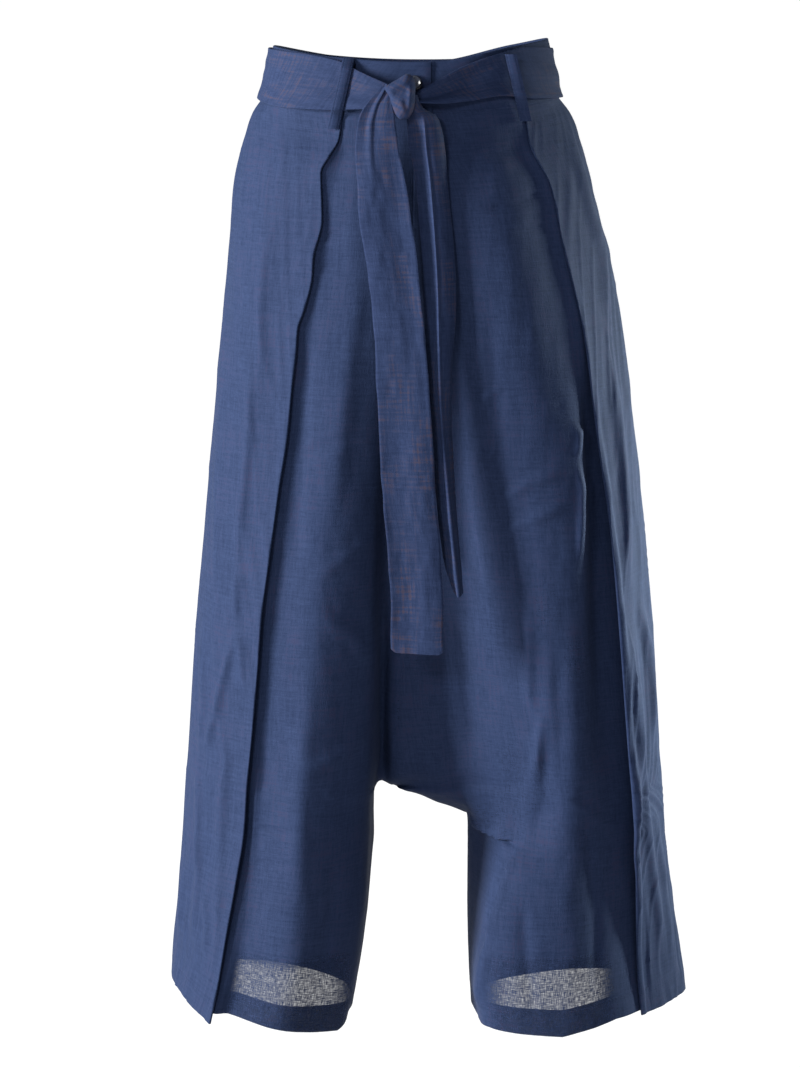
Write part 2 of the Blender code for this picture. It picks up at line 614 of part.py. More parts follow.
def belt_band(material, knot_tree):
    """The belt from the knot, round by the right side and the back, to the knot's other side."""
    steps, heights = 60, 3
    out = DOUBLED_CLOTH / 2 + DOUBLED_CLOTH + SEAM_GAP + BELT_CLOTH / 2 + BELT_EASE
    end_y = -oval_y(KNOT_CENTRE.x, WAISTBAND_HEIGHT * 0.8) - out - KNOT_REACH
    ends = []
    for side, row in ((-1, 0), (1, -1)):
        levels = np.linspace(-BELT["top"][row], -BELT["bottom"][row], 9)
        reach = [clear_of(knot_tree, side * -99.0, end_y, drop, side) for drop in levels]
        ends.append(side * max(side * x for x in reach))
    start, stop = angle_at(ends[0]), angle_at(ends[1]) + 2 * math.pi
    share = np.linspace(0, 1, steps + 1)
    turns = 0.5 + 0.5 * np.sign(share - 0.5) * np.abs(2 * share - 1) ** BELT_STEPS_SPREAD
    angles = start + (stop - start) * turns
    top, bottom = eased(BELT, "top", turns), eased(BELT, "bottom", turns)
    rows = []
    for k in range(heights + 1):
        level = top + (bottom - top) * k / heights
        x, y = oval_point(angles, -level * BELT_LEAN, out)
        near_knot = np.minimum(turns, 1 - turns)
        bulge = KNOT_REACH * (1 - smooth_step(near_knot, 0.0, BELT_BULGE_SHARE))
        rows.append(np.column_stack([x, y - bulge, level]))
    return strip_object("belt_band", np.array(rows), BELT_CLOTH, material)


def belt_knot(material):
    """A pressed lump, squarer than a ball, with the groove where the belt wraps over itself."""
    bpy.ops.mesh.primitive_uv_sphere_add(segments=14, ring_count=9, radius=1.0)
    obj = bpy.context.object
    obj.name = "belt_knot"
    obj.data.name = "belt_knot"
    for vertex in obj.data.vertices:
        p = vertex.co.copy()
        across = p.x * 0.55 + p.z * 0.85
        groove = 1 - 0.16 * math.exp(-((across - 0.35) / 0.22) ** 2) * max(0.0, -p.y)
        squarer = 1.0 / max(abs(p.x), abs(p.y), abs(p.z)) ** 0.25
        p *= groove * squarer
        lean = KNOT_LEAN * p.z * KNOT_SIZE.z
        place = Vector((p.x * KNOT_SIZE.x + lean, p.y * KNOT_SIZE.y, p.z * KNOT_SIZE.z))
        vertex.co = (KNOT_CENTRE + place) * MM
    obj.data.materials.append(material)
    obj.data.shade_smooth()
    for holder in obj.users_collection:
        holder.objects.unlink(obj)
    bpy.data.collections[COLLECTION].objects.link(obj)
    return obj


def tail(name, data, names, side, tree, gap, tip, material):
    """A hanging end of the belt between its two edges, with a shallow fold down its length and a slanted tip."""
    drops = data["drop"][0] + (data["drop"][-1] - data["drop"][0]) * np.linspace(0, 1, TAIL_ROWS) ** TAIL_ROWS_SPREAD
    (first_x, first_y), (second_x, second_y) = (
        (eased(data, edge + "_x", drops), eased(data, edge + "_y", drops)) for edge in names
    )
    grid = []
    for share in np.linspace(0, 1, 5):
        x = first_x * (1 - share) + second_x * share
        y = first_y * (1 - share) + second_y * share
        wave = np.sin(drops / TAIL_WAVE) * smooth_step(drops, TAIL_WAVE_FROM, TAIL_WAVE_FULL)
        y -= TAIL_FOLD * math.sin(math.pi * 2 * share) * wave
        x = np.array([clear_of(tree, *place, side, gap) for place in zip(x, y, drops)])
        level = -drops - tip * share * (drops / drops[-1]) ** 8
        grid.append(np.column_stack([x, y, level]))
    return strip_object(name, np.array(grid), BELT_CLOTH, material)


def surface_tree(objects):
    """One search tree over the final meshes of some objects, in metres."""
    points, faces = [], []
    graph = bpy.context.evaluated_depsgraph_get()
    for obj in objects:
        mesh = obj.evaluated_get(graph).to_mesh()
        start = len(points)
        points += [obj.matrix_world @ v.co for v in mesh.vertices]
        faces += [tuple(start + i for i in polygon.vertices) for polygon in mesh.polygons]
        obj.evaluated_get(graph).to_mesh_clear()
    return BVHTree.FromPolygons(points, faces)


def front_y(tree, x, z, width, facing=-1.0):
    """How far forward (or back) anything reaches behind a loop of this width, in millimetres."""
    reach = []
    for dx in np.linspace(-width / 2 - 1, width / 2 + 1, 5):
        for dz in (-4.0, -2.0, 0.0, 2.0, 4.0):
            start = Vector(((x + dx) * MM, facing * 0.5, (z + dz) * MM))
            hit = tree.ray_cast(start, Vector((0, -facing, 0)))[0]
            if hit is not None:
                reach.append(hit.y / MM)
    return (min(reach) if facing < 0 else max(reach)) if reach else None


def belt_loop(name, top, bottom, material, tree, facing=-1.0):
    """A narrow strip from the waistband's top edge, over the belt, to just below the waist seam."""
    steps = 12
    centre = np.linspace(0, 1, steps + 1)
    xs = top[0] + (bottom[0] - top[0]) * centre
    zs = top[1] + (bottom[1] - top[1]) * centre
    ys = np.array([front_y(tree, x, z, LOOP_WIDTH, facing) for x, z in zip(xs, zs)], float)
    eased_y = ys.copy()
    for _ in range(LOOP_SETTLING):
        nearby = np.stack([np.roll(eased_y, 1), eased_y, np.roll(eased_y, -1)])
        nearby[:, 0], nearby[:, -1] = eased_y[0], eased_y[-1]
        mean = nearby.mean(axis=0)
        eased_y = np.minimum(mean, ys) if facing < 0 else np.maximum(mean, ys)
    ys = eased_y + facing * (SEAM_GAP + BELT_CLOTH / 2 + LOOP_EASE)
    grid = []
    for share in (-0.5, 0.0, 0.5):
        grid.append(np.column_stack([xs + LOOP_WIDTH * share * -facing, ys, zs]))
    return strip_object(name, np.array(grid)[::-1], BELT_CLOTH, material)


def waist_button(material):
    """A small flat button on the lap, tilted as the waistband is."""
    front_height = WAISTBAND_HEIGHT + FRONT_DIP_SEAM - FRONT_DIP_TOP
    drop = (-BUTTON_Z - FRONT_DIP_TOP) * WAISTBAND_HEIGHT / front_height
    slope = math.atan(WAISTBAND_FLARE_DEPTH / WAISTBAND_HEIGHT)
    lap_face = oval_y(BUTTON_X, drop) + DOUBLED_CLOTH + SEAM_GAP + DOUBLED_CLOTH / 2
    y = -lap_face - SEAM_GAP - BUTTON_HEIGHT / 2 - BUTTON_EASE
    bpy.ops.mesh.primitive_cylinder_add(vertices=24, radius=BUTTON_RADIUS * MM, depth=BUTTON_HEIGHT * MM)
    obj = bpy.context.object
    obj.name = "waist_button"
    obj.data.name = "waist_button"
    obj.rotation_euler = (math.radians(90) - slope, 0, 0)
    obj.location = Vector((BUTTON_X, y, BUTTON_Z)) * MM
    obj.data.materials.append(material)
    rim = obj.modifiers.new("rim", "BEVEL")
    rim.width = BUTTON_RIM * MM
    rim.segments = 2
    for holder in obj.users_collection:
        holder.objects.unlink(obj)
    bpy.data.collections[COLLECTION].objects.link(obj)
    return obj


def main():
    for obj in list(bpy.data.objects):
        bpy.data.objects.remove(obj, do_unlink=True)
    collection = bpy.data.collections.new(COLLECTION)
    bpy.context.scene.collection.children.link(collection)

    linen = {
        name: cloth_material(name, colour, 0.85)
        for name, colour in {
            "front_right": (0.050, 0.082, 0.180),
            "front_left": (0.042, 0.070, 0.160),
            "back_right": (0.046, 0.076, 0.170),
            "back_left": (0.046, 0.076, 0.170),
            "waistband": (0.048, 0.080, 0.176),
            "belt": (0.040, 0.064, 0.150),
            "loop": (0.050, 0.084, 0.186),
        }.items()
    }
    flips = {"front_right": False, "front_left": True, "back_right": True, "back_left": False}
    grids = {name: panel_grid(*name.split("_")) for name in flips}
    normals = shared_normals(grids, flips)
    panels = {
        name: panel_object(name, inset_seams(grid, normals[name]), normals[name], flips[name], linen[name])
        for name, grid in grids.items()
    }
    band = waistband(linen["waistband"])
    knot_tree = surface_tree([belt_knot(linen["belt"])])
    belt = belt_band(linen["belt"], knot_tree)
    tail("belt_tail_wide", TAIL_WIDE, ("left", "right"), -1, knot_tree, SEAM_GAP, 1.5, linen["belt"])
    edge_gap = BELT_CLOTH / 2
    tail("belt_tail_edge", TAIL_EDGE, ("front", "rear"), 1, knot_tree, edge_gap, 2.0, linen["belt"])
    waist_button(cloth_material("button_resin", (0.012, 0.014, 0.022), 0.2))
    tree = surface_tree([*panels.values(), band, belt])
    belt_loop("loop_right", (-57, -9), (-71, -70), linen["loop"], tree)
    belt_loop("loop_left", (84, -6), (98, -64), linen["loop"], tree)
    belt_loop("loop_back", (0, -19), (0, -76), linen["loop"], tree, facing=1.0)


main()
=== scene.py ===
# %% [markdown]
# # Drop-crotch linen trousers
# The trousers hang as they are worn: a lapped waistband, two fronts with one deep knife pleat each, two
# backs, and a tie belt knotted at the front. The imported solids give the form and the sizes. This lesson
# lays cloth over that form: thin shells with creases, a woven finish that lets some light through, and the
# sewing.

# %% The frame that everything is placed in
import math

import bpy
import numpy as np
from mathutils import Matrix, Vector
from mathutils.bvhtree import BVHTree


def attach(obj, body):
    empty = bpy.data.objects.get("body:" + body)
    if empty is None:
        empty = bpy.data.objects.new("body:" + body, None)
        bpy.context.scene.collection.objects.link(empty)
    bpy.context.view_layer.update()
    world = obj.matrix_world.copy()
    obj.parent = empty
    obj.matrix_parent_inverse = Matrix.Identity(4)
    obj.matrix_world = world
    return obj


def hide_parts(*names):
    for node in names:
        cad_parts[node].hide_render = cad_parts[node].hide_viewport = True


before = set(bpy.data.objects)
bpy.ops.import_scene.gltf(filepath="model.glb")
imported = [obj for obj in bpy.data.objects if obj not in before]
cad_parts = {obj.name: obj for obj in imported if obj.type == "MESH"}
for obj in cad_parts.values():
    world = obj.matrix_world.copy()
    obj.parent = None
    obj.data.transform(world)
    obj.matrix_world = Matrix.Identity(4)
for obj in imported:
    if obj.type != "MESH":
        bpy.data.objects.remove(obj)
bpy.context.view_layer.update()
MM = 0.001
print("solids:", ", ".join(sorted(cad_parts)))

# %% [markdown]
# ## Camera
# The photograph looks a little down on the trousers from two and a half metres away, through a long lens. A
# pinhole camera is a focal length in pixels. Blender wants it in millimetres on a sensor, so it is scaled
# by the frame's height.

# %% Camera
CAMERA_PLACE = Vector((-0.0126, -2.5, 0.05))
CAMERA_PITCH = math.radians(11.3)
FOCAL_PIXELS, FRAME_HEIGHT_PIXELS, SENSOR_MM = 2726.0, 1067.0, 36.0


def add_object(name, data):
    """A new object in the scene."""
    added = bpy.data.objects.new(name, data)
    bpy.context.scene.collection.objects.link(added)
    return added


lens = bpy.data.cameras.new("camera")
lens.sensor_width = SENSOR_MM
lens.lens = FOCAL_PIXELS * SENSOR_MM / FRAME_HEIGHT_PIXELS
camera = add_object("camera", lens)
camera.location = CAMERA_PLACE
camera.rotation_euler = (math.radians(90) - CAMERA_PITCH, 0, 0)
bpy.context.scene.camera = camera
print(f"lens {lens.lens:.1f} mm")

# %% [markdown]
# ## Smooth tables
# A garment's form is easiest to give as short tables: a row for each height, a column for each feature.
# Straight lines between rows would show as facets, so a column is read on cubic pieces whose slopes never
# overshoot. A plan curve through the features is a centripetal Catmull-Rom curve, which doesn't loop where
# points lie close together.


# %% Tables and curves
def table(text):
    """A dictionary of a table's columns: the first line names them, and each is an array down the rows."""
    names, *rows = text.strip().splitlines()
    return dict(zip(names.split(), np.array([row.split() for row in rows], float).T))


def eased(data, column, places):
    """A column read by a monotone cubic. Each slope is the weighted harmonic mean of the rises on either
    side of its row, or zero where one rises and the other falls."""
    at, value = data[next(iter(data))], data[column]
    step = np.diff(at)
    rise = np.diff(value) / step
    slope = np.zeros(len(at))
    slope[0], slope[-1] = rise[0], rise[-1]
    same_way = rise[:-1] * rise[1:] > 0
    weight_a, weight_b = 2 * step[1:] + step[:-1], step[1:] + 2 * step[:-1]
    safe = np.where(same_way, rise[:-1] * rise[1:], 1.0)
    joint = (weight_a + weight_b) * safe / np.where(same_way, weight_a * rise[1:] + weight_b * rise[:-1], 1.0)
    slope[1:-1] = np.where(same_way, joint, 0.0)
    places = np.clip(np.asarray(places, float), at[0], at[-1])
    i = np.clip(np.searchsorted(at, places, side="right") - 1, 0, len(step) - 1)
    t = (places - at[i]) / step[i]
    start = (1 + 2 * t) * (1 - t) ** 2 * value[i] + t * (1 - t) ** 2 * step[i] * slope[i]
    return start + t * t * (3 - 2 * t) * value[i + 1] + t * t * (t - 1) * step[i] * slope[i + 1]


def feature(data, name, drop):
    """The plan position of one named feature at a drop."""
    return np.array([eased(data, name + "_x", drop), eased(data, name + "_y", drop)], float)


def smooth_step(value, low, high):
    """3t^2 - 2t^3, where t runs from 0 at low to 1 at high."""
    t = np.clip((value - low) / (high - low), 0, 1)
    return t * t * (3 - 2 * t)


def through(knots, counts):
    """A centripetal Catmull-Rom curve from the second knot to the last but one, with a count of steps for
    each stretch. The first and last knots only steer its ends."""
    knots = [np.asarray(k, float) for k in knots]
    out = [knots[1][None, :]]
    for i, count in enumerate(counts):
        p0, p1, p2, p3 = knots[i : i + 4]
        gaps = [np.linalg.norm(b - a) for a, b in ((p0, p1), (p1, p2), (p2, p3))]
        t01, t12, t23 = (math.sqrt(max(gap, 1e-6)) for gap in gaps)
        m1 = p2 - p1 + t12 * ((p1 - p0) / t01 - (p2 - p0) / (t01 + t12))
        m2 = p2 - p1 + t12 * ((p3 - p2) / t23 - (p3 - p1) / (t12 + t23))
        t = (np.arange(1, count + 1) / count)[:, None]
        out.append((2 * (p1 - p2) + m1 + m2) * t**3 + (3 * (p2 - p1) - 2 * m1 - m2) * t**2 + m1 * t + p1)
    return np.concatenate(out)


print("smooth step a quarter of the way:", float(smooth_step(0.25, 0, 1)))

# %% [markdown]
# ## Distance and noise
# Cloth is measured along itself, so many steps need a point's distance along a line. The small accidents of
# cloth come from value noise: seeded random heights at the corners of cells, joined smoothly, so that every
# run gives the same cloth.


# %% Distance and noise
def unit(vectors):
    """The vectors with their length brought to one."""
    return vectors / (np.linalg.norm(vectors, axis=-1)[..., None] + 1e-12)


def bell(distance, width):
    """exp(-(distance / width)^2)."""
    return np.exp(-((distance / width) ** 2))


def lengths(line):
    """Each point's distance along a line from the line's first point."""
    return np.concatenate([[0], np.cumsum(np.linalg.norm(np.diff(line, axis=0), axis=1))])


def read_along(line, values, distances):
    """Values that are given at a line's points, read at distances along the line."""
    length = lengths(line)
    return np.stack([np.interp(distances, length, column) for column in values.T], axis=1)


def along(curve, distances):
    """Points and unit tangents at distances along a plan curve."""
    places = (distances, distances + 1.0, np.maximum(distances - 1.0, 0))
    points, ahead, behind = (read_along(curve, curve, place) for place in places)
    return points, unit(ahead - behind)


def soft_noise(u, v, cell_u, cell_v, seed):
    """Value noise from -1 to 1: seeded heights at the corners of cells, blended by a smooth step."""
    size = 96
    heights = np.random.default_rng(seed).uniform(-1, 1, (size, size))
    a, b = np.asarray(u) / cell_u + size, np.asarray(v) / cell_v + size
    i, j = np.floor(a).astype(int), np.floor(b).astype(int)
    s, t = smooth_step(a - i, 0, 1), smooth_step(b - j, 0, 1)
    near, far = (
        heights[i % size, k % size] * (1 - s) + heights[(i + 1) % size, k % size] * s
        for k in (j, j + 1)
    )
    return near * (1 - t) + far * t


def noises(u, v, layers):
    """Soft noises added up. A layer is its share, the size of its cells along u and v, and its seed."""
    return sum(share * soft_noise(u, v, *cells, seed) for share, *cells, seed in layers)


print("distances round a square's corners:", lengths(np.array([(0, 0), (1, 0), (1, 1), (0, 1)])))

# %% [markdown]
# ## The garment's sizes
# These are the sizes that the solids were built from, in millimetres. X runs to the wearer's left, Y to the
# back, and a drop is a distance below the waist. The shells repeat them, so cloth and solid share one form.

# %% Sizes
CLOTH = 0.5
WAIST_WIDTH, WAIST_DEPTH, WAIST_SQUARENESS = 252.0, 190.0, 2.3
WAIST_LEFT_SHARE = 0.952
WAISTBAND_HEIGHT, WAISTBAND_FLARE, WAISTBAND_FLARE_DEPTH = 47.0, 11.5, 7.0
FRONT_DIP_TOP, FRONT_DIP_SEAM = 12.0, 9.0
BACK_DIP_TOP, BACK_DIP_SEAM = 17.0, 14.0
DIP_FADES_AT, LEFT_RISE = 160.0, 6.5
CROTCH_DROP, LENGTH, HEM_TURN_UP = 681.0, 900.0, 24.0
SOLID_LAYER_GAP, LAYER_GAP, SEWN_LAYER_GAP = 2.7, 1.4, 0.8
RIGHT_LOOSE_AT, LEFT_LOOSE_FROM, LEFT_LOOSE_AT = 94.0, 150.0, 320.0
RECESS_SHUT_TO, RECESS_OPEN_AT = 215.0, 345.0
SEWN_IN, FLANK_LEAST = 3.0, 0.12
SAG_STARTS_AT, SAG_FADES_FROM, SAG_FADES_AT, HEM_LIFT_FROM = 540.0, 730.0, 790.0, 730.0

CENTRE_SEAM = table("""
    drop x front back
     47   0 -101 101
    120  -1 -106 114
    190  -2 -105 121
    250  -3 -101 119
    340  -5  -89 109
    440  -8  -72  93
    550 -12  -54  70
    600 -15  -45  54
    640 -17  -34  40
    662 -18  -24  28
    675 -19  -12  14
    681 -19    0   0
""")
INSEAM = table("""
    drop right_x left_x right_y left_y
    681 -19 -19   0   0
    683 -29 -14   0   0
    687 -34  -6   0   0
    693 -37   8   0   0
    701 -38  22   0   0
    711 -38  38   0   0
    717 -38  47   0   0
    720 -38  51   0   0
    736 -38  52   0   0
    762 -40  52   0   0
    800 -43  52  -3  -3
    845 -49  53  -8  -8
    900 -58  56 -14 -14
""")
CROTCH_SAG = table("""
    x sag
    -45  0
    -36  1
    -30  4
    -19 13
     -8 12
      0 10
     20  8
     35  4
     52  0
""")
HEM_LIFT = table("""
    side seam valley ridge mid outer recess hidden edge flank side_seam
    0 -2 -3 -7  5 14 15 13 6 16 21
    1 -2 -3  1 -3  9 10  8 6  8  5
""")
print(f"waist {WAIST_WIDTH:.0f} by {WAIST_DEPTH:.0f} mm, {LENGTH:.0f} mm from waist to hem")

# %% [markdown]
# ## The fronts and backs as tables
# Each front runs from the centre seam through the furrow behind the leg, the leg's ridge and its middle, to
# the cloth beside the pleat. There it passes under the side panel, turns back, and turns out again at the
# fold's edge.

# %% Front and back tables
FRONT_RIGHT = table("""
    drop valley_x valley_y ridge_x ridge_y mid_x mid_y outer_x outer_y edge_x edge_y lift tuck flank_x flank_y side_x
     47 -14 -101 -30 -100  -44  -97  -56  -94  -67  -95  5.6 45 -112 -64 -137
     60 -14 -103 -30 -102  -45  -99  -58  -96  -68  -97  5.7 46 -118 -65 -146
     80 -14 -104 -30 -103  -46 -101  -60  -97  -71  -99  5.8 48 -123 -66 -153
    120 -14 -107 -30 -107  -52 -105  -71  -99  -83 -101  6.2 50 -133 -68 -163
    170 -15 -107 -31 -108  -55 -107  -75 -101  -87 -104  6.8 50 -141 -70 -168
    250 -17 -101 -32 -104  -63 -107  -91 -100 -104 -102  7.5 52 -152 -66 -176
    340 -21  -89 -34  -98  -72 -106 -102  -96 -115  -99  8.5 54 -162 -63 -185
    440 -25  -68 -38  -90  -80 -104 -114  -93 -129  -97  9.5 55 -173 -60 -195
    540 -28  -45 -41  -82  -88 -104 -126  -91 -141  -95 10.5 56 -183 -57 -205
    620 -29  -28 -43  -77  -93 -105 -133  -90 -149  -94 11.0 56 -190 -55 -211
    662 -30  -17 -44  -75  -96 -106 -137  -90 -154  -94 11.0 56 -193 -54 -214
    681 -33  -17 -45  -74  -98 -107 -140  -91 -157  -94 11.0 56 -195 -54 -216
    693 -38  -26 -46  -72  -99 -108 -141  -91 -158  -94 11.0 56 -196 -54 -217
    736 -40  -34 -47  -70 -101 -110 -145  -92 -162  -95 11.0 55 -199 -53 -220
    800 -45  -38 -51  -74 -107 -112 -154  -94 -171  -97 10.0 52 -206 -54 -225
    860 -53  -42 -60  -79 -115 -114 -163  -95 -181 -100  9.0 50 -212 -55 -231
    900 -62  -50 -71  -86 -123 -116 -173  -96 -190 -102  8.0 46 -217 -57 -233
""")
FRONT_LEFT = table("""
    drop valley_x valley_y ridge_x ridge_y mid_x mid_y outer_x outer_y edge_x edge_y lift tuck flank_x flank_y side_x
     47 14 -101  40  -98  62  -93  85 -80  97 -77  5.6 38 119 -46 131
     60 15 -103  42 -100  66  -94  88 -82  99 -80  5.7 39 127 -48 141
     80 16 -104  44 -102  70  -96  91 -84 102 -82  5.8 40 134 -48 149
    120 18 -107  50 -106  84  -98 110 -81 121 -79  6.2 40 148 -46 160
    170 20 -107  55 -108  92 -101 121 -82 132 -80  7.0 42 159 -46 172
    250 22 -103  62 -107 104 -103 138 -84 152 -80  9.0 42 175 -46 188
    340 24  -92  72 -101 112 -102 147 -89 165 -82 16.0 44 188 -48 203
    440 26  -75  82  -93 118 -100 152 -92 180 -83 24.0 45 201 -48 215
    540 28  -57  98  -87 125  -97 153 -92 190 -83 28.0 45 210 -47 225
    620 26  -47 112  -86 132  -95 154 -91 197 -81 27.0 44 217 -45 231
    662 18  -37 117  -85 136  -94 157 -90 201 -80 24.0 43 220 -44 234
    681 12  -25 118  -84 138  -94 159 -89 203 -79 22.0 42 222 -43 236
    693 28  -26 117  -83 139  -94 160 -89 204 -78 21.0 41 223 -42 237
    722 65  -30 104  -80 139  -96 164 -88 206 -77 18.0 40 225 -41 239
    736 68  -33  95  -82 139  -97 166 -88 206 -77 17.0 40 226 -41 240
    762 65  -34  88  -86 139 -100 169 -88 208 -76 14.0 39 229 -40 243
    800 60  -36  77  -91 138 -104 174 -90 209 -76 11.0 38 234 -40 248
    860 56  -42  67  -95 136 -109 183 -94 211 -78  7.0 36 243 -41 257
    900 60  -48  71  -98 138 -112 189 -97 215 -80  6.0 34 248 -42 262
""")
BACK_RIGHT = table("""
    drop furrow_x furrow_y full_x full_y outer_x outer_y
     47 -30 100  -75  88 -117 53
    120 -35 114  -90 102 -142 60
    190 -38 123  -95 113 -152 66
    300 -40 119 -100 114 -164 66
    400 -38 107 -104 113 -174 64
    500 -36  92 -108 109 -184 62
    605 -36  75 -112 102 -192 60
    645 -36  64 -115  97 -196 58
    681 -40  47 -118  92 -200 56
    736 -46  36 -122  87 -203 54
    800 -52  33 -128  77 -211 47
    860 -60  27 -136  66 -218 40
    900 -68  19 -142  57 -221 35
""")
BACK_LEFT = table("""
    drop furrow_x furrow_y full_x full_y outer_x outer_y
     47 28 100  72  88 114 53
    120 34 114  90 102 140 60
    190 38 123 100 113 157 66
    300 42 119 108 114 175 66
    400 46 107 116 113 190 64
    500 50  94 124 109 201 62
    605 52  78 132 102 210 60
    645 48  64 136  97 214 58
    681 44  44 140  92 217 56
    705 62  38 142  89 220 55
    736 70  37 144  86 222 54
    800 66  33 150  76 230 47
    860 64  26 156  66 239 40
    900 68  18 160  57 244 35
""")
PANELS = {
    ("front", "right"): FRONT_RIGHT,
    ("front", "left"): FRONT_LEFT,
    ("back", "right"): BACK_RIGHT,
    ("back", "left"): BACK_LEFT,
}

# The right pleat's edge as pressed: it wanders a few millimetres where the hand folded it.
RIGHT_EDGE = table("""
    drop x
     47  -63
     73  -67
     90  -76
    105  -83
    148  -82
    183  -90
    198  -91
    230  -99
    244 -104
    268 -106
    300 -110
    340 -114
    389 -122
    451 -131
    508 -139
    555 -143
    619 -149
    667 -154
    709 -157
    764 -166
    814 -175
    863 -183
    900 -190
""")
print("tables:", ", ".join(" ".join(name) for name in PANELS))


# %% [markdown]
# ## One horizontal section of a panel
# A knife pleat is three layers of one cloth. Layer A runs on under the side panel, the hidden fold turns it
# back as layer B, and the visible fold turns it out again as layer C, which goes on to the side seam. B and
# C are C's own curve moved inwards, so the layers never cross. Near the waist they are pressed together,
# because the seam holds them.

# %% Sections
FOLD_STEPS = 6
LAYER_B_STEPS = 10
UNDER_STEPS = (10, 20, 24, 20, 12, 6, 6)
TOP_STEPS = (30, 26)
BACK_STEPS = (16, 22, 20, 16)
FRONT_COLUMNS = np.cumsum([0, *UNDER_STEPS, FOLD_STEPS, LAYER_B_STEPS, FOLD_STEPS, *TOP_STEPS])
COLUMN_NAMES = "seam valley ridge mid outer recess under hidden_in hidden_out edge_in edge flank side_seam"
FRONT_AT = {name: int(column) for name, column in zip(COLUMN_NAMES.split(), FRONT_COLUMNS)}


def oval_y(x, drop, least=0.0):
    """The waist's half depth at an X: a superellipse, |x/a|^p + |y/b|^p = 1, that flares with the drop. The
    least share of the depth's power keeps points near the side from falling in to the middle."""
    flare = np.clip(drop / WAISTBAND_HEIGHT, 0, 1)
    half_width = WAIST_WIDTH / 2 + WAISTBAND_FLARE * flare
    half_width = half_width * np.where(np.asarray(x) > 0, WAIST_LEFT_SHARE, 1.0)
    half_depth = WAIST_DEPTH / 2 + WAISTBAND_FLARE_DEPTH * flare
    share = np.clip(1 - np.abs(x / half_width) ** WAIST_SQUARENESS, least, 1)
    return half_depth * share ** (1 / WAIST_SQUARENESS)


def seam_point(side, face, drop):
    """Where a panel starts: on the centre seam above the crotch and on its own inseam below."""
    if drop <= CROTCH_DROP:
        return np.array([eased(CENTRE_SEAM, "x", drop), eased(CENTRE_SEAM, face, drop)], float)
    return feature(INSEAM, side, drop)


def side_seam_point(side, drop):
    """Where a front and a back meet at the side, which is in the plane Y = 0."""
    return np.array([eased(PANELS["front", side], "side_x", drop), 0.0], float)


def beyond_seam(side, face, drop):
    """The neighbour's first feature past the seam, which steers the curve smoothly across it."""
    other = "left" if side == "right" else "right"
    if drop <= CROTCH_DROP:
        return feature(PANELS[face, other], "valley" if face == "front" else "furrow", drop)
    if face == "front":
        return feature(PANELS["back", side], "furrow", drop)
    return feature(PANELS["front", side], "valley", drop)


def layer_gap(side, drop):
    """The distance between the pleat's layers: pressed close by the waist seam, and looser below."""
    start, stop = (WAISTBAND_HEIGHT, RIGHT_LOOSE_AT) if side == "right" else (LEFT_LOOSE_FROM, LEFT_LOOSE_AT)
    return SEWN_LAYER_GAP + (LAYER_GAP - SEWN_LAYER_GAP) * smooth_step(drop, start, stop)


def sewn_share(drop):
    """One at the waist seam, which holds the cloth to the waist's oval, and none a band's height below."""
    return 1 - smooth_step(drop, WAISTBAND_HEIGHT, 2 * WAISTBAND_HEIGHT)


def front_section(side, drop):
    """A front's plan curve from its seam to the side, through the knife pleat, in millimetres."""
    data = PANELS["front", side]
    turn = 1.0 if side == "right" else -1.0
    sewn, gap = sewn_share(drop), float(layer_gap(side, drop))
    edge, flank = feature(data, "edge", drop), feature(data, "flank", drop)
    if side == "right":
        edge[0] = eased(RIGHT_EDGE, "x", drop)
    for point in (edge, flank):
        point[1] += sewn * (-oval_y(point[0], drop, FLANK_LEAST) - gap - point[1])
    past_side = feature(PANELS["back", side], "outer", drop)
    guides = [2 * edge - flank, edge, flank, side_seam_point(side, drop), past_side]
    panel_c = through(guides, TOP_STEPS)
    fine_c = through(guides, (60, 60))
    tuck, under = float(eased(data, "tuck", drop)), 2 * gap
    lift = float(eased(data, "lift", drop)) + 2 * (LAYER_GAP - SOLID_LAYER_GAP)
    if side == "left":
        lift = under + (lift - under) * smooth_step(drop, RECESS_SHUT_TO, RECESS_OPEN_AT)
    lift += sewn * (under - lift)

    def layer(distances, depth):
        """Points of panel C's curve moved inwards by a depth, with its directions along and inwards."""
        points, tangent = along(fine_c, np.asarray(distances, float))
        inward = turn * np.stack([tangent[:, 1], -tangent[:, 0]], axis=1)
        return points + inward * np.asarray(depth, float)[..., None], tangent, inward

    a_points, tangent, inward = layer([0, tuck / 2, tuck], [lift, under + (lift - under) / 4, under])
    features = [feature(data, name, drop) for name in ("valley", "ridge", "mid", "outer")]
    for point in features:
        point[1] += sewn * (-oval_y(point[0], drop) - point[1])
    knots = [beyond_seam(side, "front", drop), seam_point(side, "front", drop), *features, *a_points]
    panel_a = through([*knots, 2 * a_points[2] - a_points[1]], UNDER_STEPS)
    angles = np.pi * np.arange(1, FOLD_STEPS + 1)[:, None] / FOLD_STEPS
    hidden = a_points[2] - inward[2] * gap / 2
    hidden_fold = hidden + gap / 2 * (inward[2] * np.cos(angles) + tangent[2] * np.sin(angles))
    shares = np.linspace(1, 0, LAYER_B_STEPS + 1)[1:]
    layer_b, _, _ = layer(tuck * shares, np.full(LAYER_B_STEPS, gap))
    visible = edge + inward[0] * gap / 2
    visible_fold = visible + gap / 2 * (inward[0] * np.cos(angles) - tangent[0] * np.sin(angles))
    return np.concatenate([panel_a, hidden_fold, layer_b, visible_fold, panel_c[1:]])


